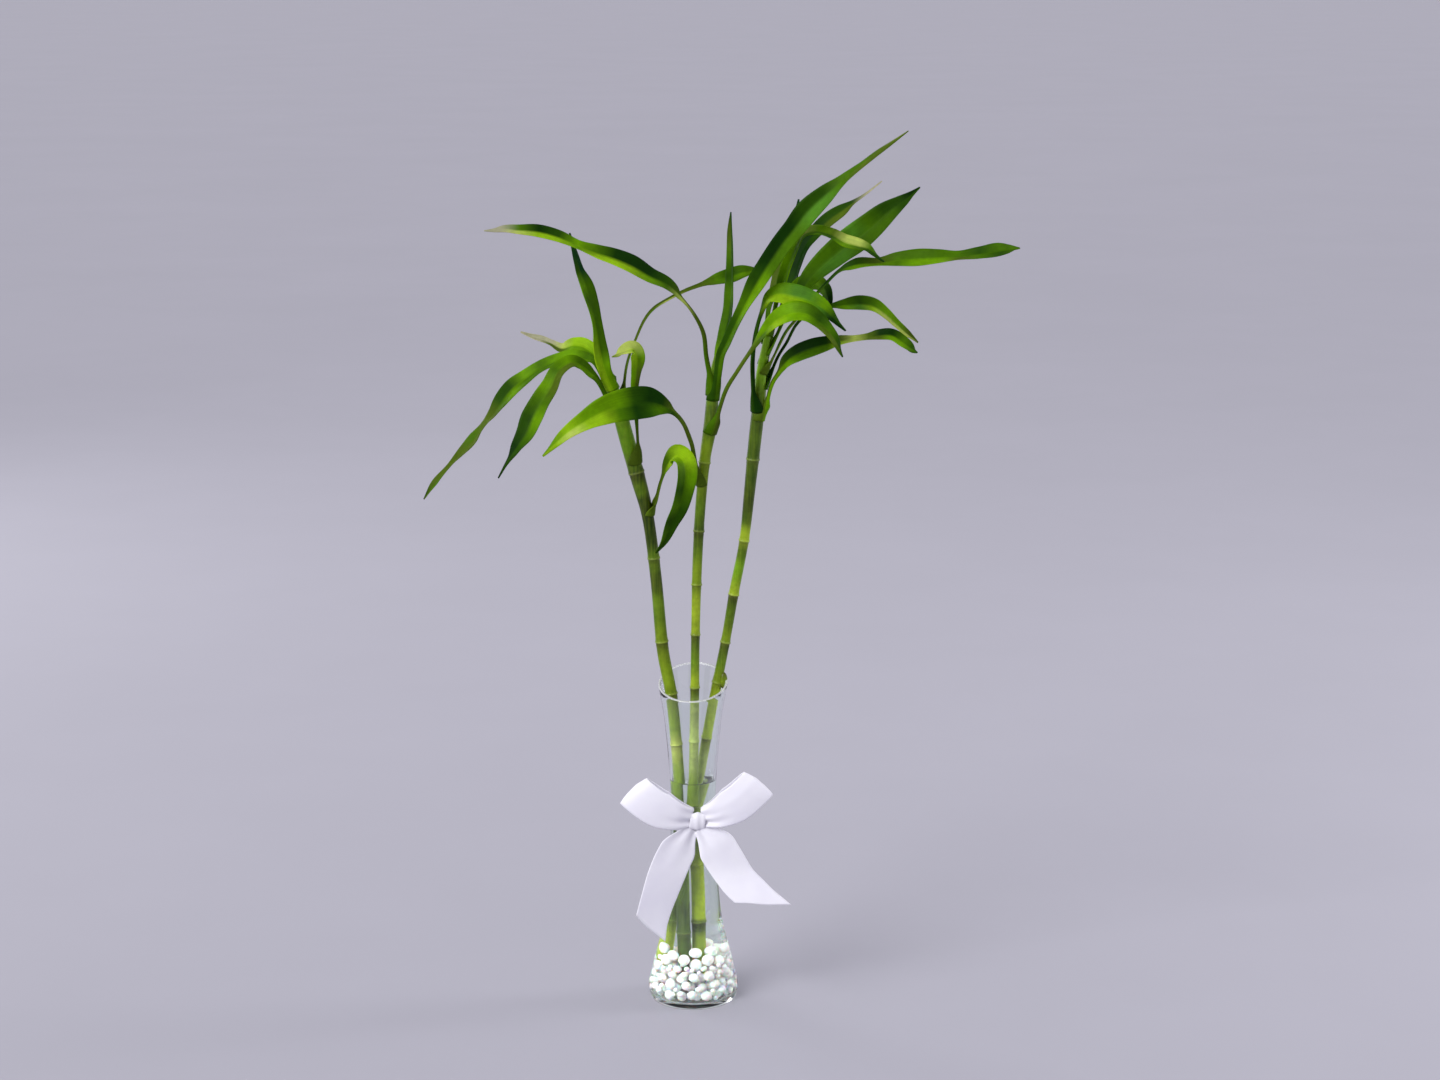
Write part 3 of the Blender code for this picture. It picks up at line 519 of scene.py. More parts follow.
def makeVase():
    floor, rings = vase["floorHeight"], vase["rings"]
    inside = insideProfile(floor, vase["outline"][-1][2], 0, rings)
    outline = [onCurve(vase["outline"], place) for place in evenPlaces(vase["outline"], rings)]
    outside = [(spot.x, spot.z) for spot in reversed(outline)]
    bm = spun([(0, floor), *inside, *outside, *vase["foot"]], vase["sides"])
    middle = Vector((0, 0, vase["mouthHeight"]))
    slope = Vector((-vase["riseRight"], -vase["riseBack"], 1)).normalized()
    bmesh.ops.bisect_plane(
        bm,
        geom=bm.verts[:] + bm.edges[:] + bm.faces[:],
        plane_co=middle,
        plane_no=slope,
        clear_outer=True,
    )
    rim = [edge for edge in bm.edges if edge.is_boundary]
    bmesh.ops.bridge_loops(bm, edges=rim)
    bmesh.ops.bevel(
        bm,
        geom=rim,
        offset=vase["lipRound"],
        offset_type="OFFSET",
        affect="EDGES",
        segments=3,
        profile=0.5,
        material=-1,
    )
    faceOut(bm)
    for face in bm.faces:
        below = (middle - face.calc_center_median()).dot(slope)
        face.material_index = 1 if below < vase["lipRound"] else 0
    finishPiece("vase", bm, [vaseGlass(), lipGlass()], 60, "vaseGlass")


water = dict(
    height=0.145,
    slack=0.0001,  # points this little below the surface are on it
    wetting=0.0001,  # it goes into the glass: a film of air between them would shine like a mirror
    creep=0.0011,
    creepReach=0.0011,
    sides=72,
    rings=30,
    # shares of the radius at the rings of the surface, and the width of its last one
    surfaceRings=(0, 0.2, 0.4, 0.55, 0.7, 0.8, 0.88, 0.94),
    edgeRing=0.0004,
    tint=(0.96, 1.0, 0.97, 1),
    bends=1.333,
    film=(60.0, 0.0, 0.02),
    ripples=110.0,
    rippleBump=(0.2, 0.0003),
    passes=0.96,
)


def clearWater():
    material, tree, shader = newMaterial("clearWater")
    ripples = noiseOf(tree, coordinates(tree), water["ripples"], 1)
    values = {
        "Base Color": water["tint"],
        "IOR": water["bends"],
        "Transmission Weight": 1.0,
        "Roughness": cloudy(tree, *water["film"]),
        "Normal": bumpOf(tree, ripples, *water["rippleBump"]),
    }
    setSockets(tree, shader, values)
    letLampsThrough(tree, shader, water["passes"])
    return material


def makeWater():
    level, wetting = water["height"], water["wetting"]
    floor = vase["floorHeight"] - wetting
    edge = innerRadius(level) + wetting
    surface = [(edge * share, level) for share in water["surfaceRings"]]
    surface += [(edge - water["edgeRing"], level), (edge, level)]
    walls = insideProfile(floor, level, -wetting, water["rings"])[-2::-1]
    bm = spun([*surface, *walls, (0, floor)], water["sides"])
    for vert in bm.verts:
        if vert.co.z < level - water["slack"]:
            continue
        # the surface climbs a little where it meets the glass and the canes
        gaps = [edge - vert.co.xy.length]
        for side in stalks:
            away = (vert.co.xy - stalkCentre(side, level).xy).length
            gaps.append(max(away - stalkRadius(side, level), 0))
        vert.co.z += water["creep"] * math.exp(-min(gaps) / water["creepReach"])
    finishPiece("water", bm, [clearWater()], 60, "vaseWater")


pebbles = dict(
    radius=0.0037,
    smallest=0.38,  # share of the radius
    thinnest=(0.94, 0.86),  # least width and height, as shares of the length
    lumps=0.11,
    lumpScale=260,
    lumpShift=9,  # so that no two have the same lumps
    tilt=0.6,
    bedTop=0.0270,
    bedded=1150,
    tries=40,
    looseGap=0.0001,  # kept between the bed and the loose ones on it
    seed=7,
    shade=(0.92, 0.92, 0.91, 1),
    light=(0.99, 0.99, 0.99, 1),
    vein=(0.65, 0.66, 0.65, 1),
    veinShare=0.25,
    veinScale=260.0,
    veinStretch=(1, 1, 2.2),
    veinEdge=(0.56, 0.70),
    patches=(90.0, 0.0, 1.0),
    polish=(300.0, 0.25, 0.45),
    grain=900.0,
    grainBump=(0.3, 0.0002),
    glow=0.6,
    glowDepth=0.004,
)


def whiteStone():
    material, tree, shader = newMaterial("whiteStone")
    spot = coordinates(tree)
    stone = mixColour(tree, cloudy(tree, *pebbles["patches"]), pebbles["shade"], pebbles["light"])
    stretched = scaled(tree, spot, pebbles["veinStretch"])
    veins = mapTo(tree, noiseOf(tree, stretched, pebbles["veinScale"], 4), *pebbles["veinEdge"])
    veined = calc(tree, "MULTIPLY", veins, pebbles["veinShare"])
    grain = noiseOf(tree, spot, pebbles["grain"], 4)
    values = {
        "Base Color": mixColour(tree, veined, stone, pebbles["vein"]),
        "Subsurface Weight": pebbles["glow"],
        "Subsurface Scale": pebbles["glowDepth"],
        "Roughness": cloudy(tree, *pebbles["polish"]),
        "Normal": bumpOf(tree, grain, *pebbles["grainBump"]),
    }
    setSockets(tree, shader, values)
    return material


def shapedPebble(bm, spot, radius, rng, fine):
    made = bmesh.ops.create_icosphere(bm, subdivisions=fine, radius=radius)["verts"]
    size = Vector((1, *(rng.uniform(least, 1) for least in pebbles["thinnest"])))
    bmesh.ops.scale(bm, verts=made, vec=size)
    far = pebbles["lumpShift"]
    shift = Vector([rng.uniform(-far, far) for _ in range(3)])
    for vert in made:
        bulge = noise.noise(vert.co * pebbles["lumpScale"] + shift) * pebbles["lumps"]
        vert.co *= 1 + min(bulge, 0)
    spin = Matrix.Rotation(rng.uniform(0, math.tau), 3, "Z")
    tilt = Matrix.Rotation(rng.uniform(-pebbles["tilt"], pebbles["tilt"]), 3, "X")
    bmesh.ops.rotate(bm, verts=made, cent=(0, 0, 0), matrix=spin @ tilt)
    bmesh.ops.translate(bm, verts=made, vec=spot)


def clearOfStalks(spot, radius):
    for side in stalks:
        for rise in (-radius, 0, radius):
            away = (stalkCentre(side, spot.z + rise).xy - spot.xy).length
            if away < stalkRadius(side, spot.z) + radius + clearGap:
                return False
    return True


def droppedSpot(rng, radius, found, loose):
    # where a pebble comes to lie: on the floor or on another, clear of all else, or nowhere
    floor, corner = vase["floorHeight"] + clearGap, vase["floorCorner"]
    room = innerRadius(floor + corner) - radius - clearGap
    angle = rng.uniform(0, math.tau)
    reach = room * math.sqrt(rng.random())
    # the floor curves up into the wall
    climb = max(reach - (room + radius - corner), 0)
    rise = corner - math.sqrt(max((corner - radius) ** 2 - climb**2, 0))
    spot = Vector((reach * math.cos(angle), reach * math.sin(angle), floor + rise))
    for other, size in found:
        apart = radius + size + clearGap
        across = (other.xy - spot.xy).length
        if across < apart:
            spot.z = max(spot.z, other.z + math.sqrt(apart**2 - across**2))
    wall = innerRadius(spot.z + radius) - radius - clearGap
    least = radius + pebbles["radius"] + pebbles["looseGap"]
    hit = any((spot - other).length < least for other in loose)
    return None if hit or reach > wall or not clearOfStalks(spot, radius) else spot


def beddedSpots(rng, loose):
    # each pebble of the bed lies at the lowest of the places tried for it
    found = []
    for _ in range(pebbles["bedded"]):
        radius = pebbles["radius"] * rng.uniform(pebbles["smallest"], 1.0)
        spots = [droppedSpot(rng, radius, found, loose) for _ in range(pebbles["tries"])]
        spots = [spot for spot in spots if spot]
        best = min(spots, key=lambda spot: spot.z, default=None)
        if best and best.z + radius < pebbles["bedTop"]:
            found.append((best, radius))
    return found


def makePebbles():
    stone = whiteStone()
    rng = random.Random(pebbles["seed"])
    loose = []
    for node in sorted(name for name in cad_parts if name.startswith("pebble_")):
        if node == "pebble_bed":
            continue
        low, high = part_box(node)
        loose.append((low + high) / 2)
        bm = bmesh.new()
        shapedPebble(bm, loose[-1], pebbles["radius"], rng, 3)
        finishPiece(node, bm, [stone], 50)
    bedded = beddedSpots(rng, loose)
    bm = bmesh.new()
    for spot, radius in bedded:
        shapedPebble(bm, spot, radius, rng, 2)
    finishPiece("pebble_bed", bm, [stone], 50)
    print(f"pebbles: {len(loose)} loose and {len(bedded)} bedded")


# plain colours, from 0 to 1, for canes and leaves. Some are partly painted light and shade: shade and
# bright are the greens of a leaf's shaded and lit parts, and caneDeep and caneDark stand partly for shade
# on the canes
greens = dict(
    dusk=(0.006, 0.044, 0.010),
    shade=(0.006, 0.036, 0.001),
    deep=(0.022, 0.078, 0.001),
    mid=(0.062, 0.165, 0.001),
    leafy=(0.080, 0.240, 0.015),
    fresh=(0.140, 0.325, 0.001),
    bright=(0.280, 0.500, 0.008),
    pale=(0.420, 0.530, 0.110),
    olive=(0.080, 0.140, 0.008),
    grey=(0.380, 0.390, 0.262),
    cane=(0.130, 0.210, 0.004),
    canePale=(0.270, 0.340, 0.100),
    caneLight=(0.235, 0.330, 0.012),
    caneYellow=(0.370, 0.430, 0.075),
    caneFresh=(0.120, 0.270, 0.003),
    caneBright=(0.400, 0.520, 0.010),
    caneGreen=(0.068, 0.140, 0.003),
    caneDeep=(0.026, 0.066, 0.002),
    caneDark=(0.013, 0.033, 0.001),
    scar=(0.030, 0.030, 0.005),
    ring=(0.330, 0.400, 0.080),
)

cane = dict(
    sides=20,
    step=0.0035,
    aimStep=0.003,
    # how each ring shapes the cane: how far out, how far above the ring, over what height
    rolls=[(0.0003, 0.0, 0.0022), (0.00028, 0.0002, 0.0005), (-0.00018, -0.0010, 0.0006)],
    # the heights beside a ring that get a row of points, in millimetres
    ringSteps=(-6, -3.5, -1.8, -1.2, -0.7, -0.3, 0, 0.3, 0.7, 1.2, 2.2),
    scarDrop=0.0003,
    scarReach=0.0045,
    ringRise=0.0002,
    ringReach=0.0006,
    ringLeast=0.25,
    ringShow=0.4,
    fibres=(900, 900, 28),
    fibreTint=(0.42, 0.50, 0.04, 1),
    fibreShare=0.14,
    fibreBump=(0.25, 0.00025),
    patches=(70.0, 0.72, 1.28),
    polish=(160.0, 0.30, 0.50),
    wax=0.05,
    waxRough=0.3,
    specular=0.15,
)
bud = dict(place=(0.0194, 0.0030, 0.2097), size=(0.0026, 0.0024, 0.0055), sides=14, rings=10)

# Each route runs from the cut end up and gives x, y, z and the cane's radius there. Rings give
# a height and how dark the scar is, and tones a height and a green. The darker tones, caneDeep and
# caneDark, are partly painted shade, where the canes lie in shadow.
stalks = {
    "left": dict(
        route=[
            (-3.5, -4.5, 11.5, 3.6), (-5, -5.2, 44, 3.6), (-5.8, -5.5, 85, 3.6), (-7.8, -3.4, 120, 3.6),
            (-8.8, -1.4, 146, 3.6), (-13.2, -1, 198, 3.7), (-18.9, -1, 231, 3.8), (-22.8, -2, 276, 3.6),
            (-27.5, -3, 315, 3.7), (-33.4, -4, 340, 4.6), (-40.5, -5, 366, 4.7), (-47, -6, 391, 4.3),
            (-52.2, -6, 406, 3), (-55, -6, 416, 1.6),
        ],
        rings=[(45, 0.4), (98, 0.5), (169, 0.5), (202, 0.8), (236, 0.8), (290, 0.6), (345, 0.5)],
        tones=[
            (14, "caneDeep"), (60, "caneDeep"), (75, "caneGreen"), (100, "caneGreen"), (150, "cane"),
            (168, "caneYellow"), (180, "cane"), (203, "cane"), (222, "cane"), (236, "cane"),
            (256, "caneGreen"), (264, "caneGreen"), (272, "caneDark"), (278, "caneDark"),
            (286, "caneGreen"), (292, "caneGreen"), (300, "caneDark"), (328, "caneDark"),
            (334, "caneGreen"), (344, "caneDark"), (352, "caneGreen"), (362, "caneFresh"),
            (430, "caneFresh"),
        ],
    ),
    "middle": dict(
        route=[
            (2.8, 1, 12.5, 3.3), (2.6, 0.2, 50, 3.3), (2, -0.5, 85, 3.2), (0, -2, 120, 3.1),
            (0.3, -3.4, 146, 3), (1.2, -5, 199, 2.8), (1.7, -4, 238, 2.7), (2.8, -2, 282, 3),
            (4.8, 0, 320, 3.2), (7.8, 2, 352, 3.4), (11.5, 3, 376, 4.2), (13, 4, 402, 3),
            (15, 4, 417, 1.4),
        ],
        rings=[
            (51, 0.8), (90, 0.4), (130, 0.5), (172, 0.3), (207, 0.9), (241, 0.6), (273, 0.5), (307, 0.6),
            (350, 0.4),
        ],
        tones=[
            (14, "caneLight"), (42, "caneLight"), (46, "caneDeep"), (51, "caneDeep"), (55, "caneBright"),
            (86, "caneBright"), (104, "cane"), (140, "cane"), (160, "canePale"), (192, "canePale"),
            (206, "caneGreen"), (209, "caneLight"), (224, "caneGreen"), (240, "caneDeep"),
            (243, "caneLight"), (262, "caneLight"), (272, "cane"), (284, "cane"), (294, "caneGreen"),
            (306, "caneDeep"), (322, "caneGreen"), (334, "cane"), (358, "cane"), (372, "caneGreen"),
            (384, "caneDeep"), (396, "caneFresh"), (430, "caneGreen"),
        ],
    ),
    "right": dict(
        route=[
            (-13.5, 7.5, 18, 3.6), (-6, 6.6, 85, 3.4), (-0.8, 6.2, 120, 3.3), (4.2, 5.2, 146, 3.1),
            (13.3, 4, 197, 3.2), (20.9, 5, 236, 2.9), (26.3, 5, 268, 3.1), (32.3, 4, 300, 3),
            (35.8, 3, 333, 3.5), (38.9, 2, 364, 4), (41.6, 1, 390, 3.9), (43, 0, 409, 3),
            (46, 0, 427, 2.2), (48, 0, 441, 1.3),
        ],
        rings=[
            (50, 0.5), (100, 0.4), (172, 0.8), (208, 0.4), (234, 0.7), (265, 0.9), (300, 0.7),
            (352, 0.5),
        ],
        tones=[
            (18, "caneBright"), (36, "caneBright"), (52, "caneGreen"), (110, "cane"), (135, "canePale"),
            (160, "canePale"), (172, "caneLight"), (200, "caneLight"), (212, "cane"), (220, "caneGreen"),
            (232, "caneDeep"), (236, "cane"), (252, "caneGreen"), (263, "caneDeep"), (266, "caneLight"),
            (283, "caneFresh"), (293, "caneGreen"), (301, "caneLight"), (304, "caneLight"),
            (314, "caneDeep"), (325, "caneDark"), (345, "caneDeep"), (382, "caneDeep"),
            (394, "caneGreen"), (406, "caneFresh"), (441, "caneFresh"),
        ],
    ),
}
for stalk in stalks.values():
    stalk["route"] = inMetres(stalk["route"], 4)
    stalk["rings"] = inMetres(stalk["rings"], 1)
    stalk["tones"] = inMetres(stalk["tones"], 1)


def greenCane():
    material, tree, shader = newMaterial("greenCane")
    fibre = noiseOf(tree, scaled(tree, coordinates(tree), cane["fibres"]), 1.0, 4)
    fibre = mapTo(tree, fibre, 0.3, 0.7)
    paler = calc(tree, "MULTIPLY", fibre, cane["fibreShare"])
    tone = mixColour(tree, paler, toneOf(tree), cane["fibreTint"])
    values = {
        "Base Color": lightened(tree, tone, cloudy(tree, *cane["patches"])),
        "Coat Weight": cane["wax"],
        "Coat Roughness": cane["waxRough"],
        "Specular IOR Level": cane["specular"],
        "Roughness": cloudy(tree, *cane["polish"]),
        "Normal": bumpOf(tree, fibre, *cane["fibreBump"]),
    }
    setSockets(tree, shader, values)
    return material


def stalkCentre(side, height):
    return atHeight(stalks[side]["route"], height).xyz


def stalkRadius(side, height):
    return atHeight(stalks[side]["route"], height).w


def toneAt(stops, height):
    last = stops[0]
    for stop in stops:
        if stop[0] > height:
            share = smooth((height - last[0]) / max(stop[0] - last[0], 1e-6))
            return Vector(greens[last[1]]).lerp(Vector(greens[stop[1]]), share)
        last = stop
    return Vector(greens[last[1]])


def nodeShape(side, height):
    # how far the cane stands out beside its nodes, how dark it is below each, and how pale on it
    swell, dark, pale = 0.0, 0.0, 0.0
    drop, rise = cane["scarDrop"], cane["ringRise"]
    for ring, scar in stalks[side]["rings"]:
        above = height - ring
        for out, centre, reach in cane["rolls"]:
            swell += out * bell(above - centre, reach)
        if above < -drop:
            dark = max(dark, scar * math.exp((above + drop) / cane["scarReach"]))
        pale = max(pale, bell(above - rise, cane["ringReach"]) * min(scar + cane["ringLeast"], 1))
    return swell, dark, pale


def stationHeights(side):
    low, high = (stalks[side]["route"][end][2] for end in (0, -1))
    count = round((high - low) / cane["step"])
    heights = {round(low + (high - low) * i / count, 5) for i in range(count + 1)}
    for ring, _ in stalks[side]["rings"]:
        beside = [ring + step / 1000 for step in cane["ringSteps"]]
        heights.update(round(height, 5) for height in beside if low < height < high)
    return sorted(heights)


def stationMatrix(side, height, radius):
    low, high = (stalks[side]["route"][end][2] for end in (0, -1))
    above = stalkCentre(side, min(height + cane["aimStep"], high))
    ahead = above - stalkCentre(side, max(height - cane["aimStep"], low))
    turn = up.rotation_difference(ahead).to_matrix().to_4x4()
    size = Matrix.Diagonal((radius, radius, radius, 1))
    return Matrix.Translation(stalkCentre(side, height)) @ turn @ size


def addBud(bm, tones):
    # a sleeping bud in the crook of one node
    sides, rings = bud["sides"], bud["rings"]
    made = bmesh.ops.create_uvsphere(bm, u_segments=sides, v_segments=rings, radius=1)["verts"]
    bmesh.ops.scale(bm, verts=made, vec=bud["size"])
    bmesh.ops.translate(bm, verts=made, vec=bud["place"])
    for vert in made:
        share = (vert.co.z - bud["place"][2]) / bud["size"][2]
        tone = Vector(greens["cane"]).lerp(Vector(greens["scar"]), smooth(abs(share)))
        vert[tones] = (*tone, 1)


def makeStalk(side, skin):
    bm = bmesh.new()
    tones = bm.verts.layers.float_color.new("tone")
    bmesh.ops.create_circle(bm, cap_ends=True, radius=1, segments=cane["sides"])
    top = bm.faces[:]
    last = Matrix.Identity(4)
    for i, height in enumerate(stationHeights(side)):
        swell, dark, pale = nodeShape(side, height)
        if i:
            made = bmesh.ops.extrude_face_region(bm, geom=top)["geom"]
            top = [item for item in made if isinstance(item, bmesh.types.BMFace)]
        verts = {vert for face in top for vert in face.verts}
        place = stationMatrix(side, height, stalkRadius(side, height) + swell)
        bmesh.ops.transform(bm, matrix=place @ last.inverted(), verts=list(verts))
        last = place
        # the green at this height, whose darker bands are partly painted shade
        tone = toneAt(stalks[side]["tones"], height).lerp(Vector(greens["scar"]), dark)
        tone = tone.lerp(Vector(greens["ring"]), pale * cane["ringShow"])
        for vert in verts:
            vert[tones] = (*tone, 1)
    if side == "right":
        addBud(bm, tones)
    faceOut(bm)
    finishPiece(f"stalk_{side}", bm, [skin], 35)


leafShape = dict(
    thickness=0.0005,
    rows=110,
    cols=10,
    seed=5,
    stalkedWidth=0.0030,  # no wider than this it is all stalk
    opensOver=0.005,
    tipWidth=0.0007,
    baseBlend=0.14,
    clasp=0.016,  # how far up a leaf's foot hugs its cane
    claspAround=0.95,  # share of half the cane's girth
    footStep=0.004,
    stemBend=2.2,
    bladeBend=0.30,
    leastBend=0.05,
    fold=0.30,
    foldSoft=0.1,
    ripple=0.022,
    ripples=(23, 41),
    shortShare=0.6,
    # one half's green against the other's is partly painted light and shade
    midribBlend=0.3,  # how softly one half's green turns into the other's
)
leafLook = dict(
    # the upper side and the underside: how much the veins show, patches, polish
    upper=(0.40, (75.0, 0.7544, 1.0672), (130.0, 0.38, 0.52)),
    under=(0.45, (75.0, 1.025, 1.45), (130.0, 0.45, 0.60)),
    veinLight=(1.7, 1.5, 1.2, 1),
    veinCount=13.0,
    veinBump=(0.35, 0.0003),
    specular=0.05,
    glow=0.30,
)
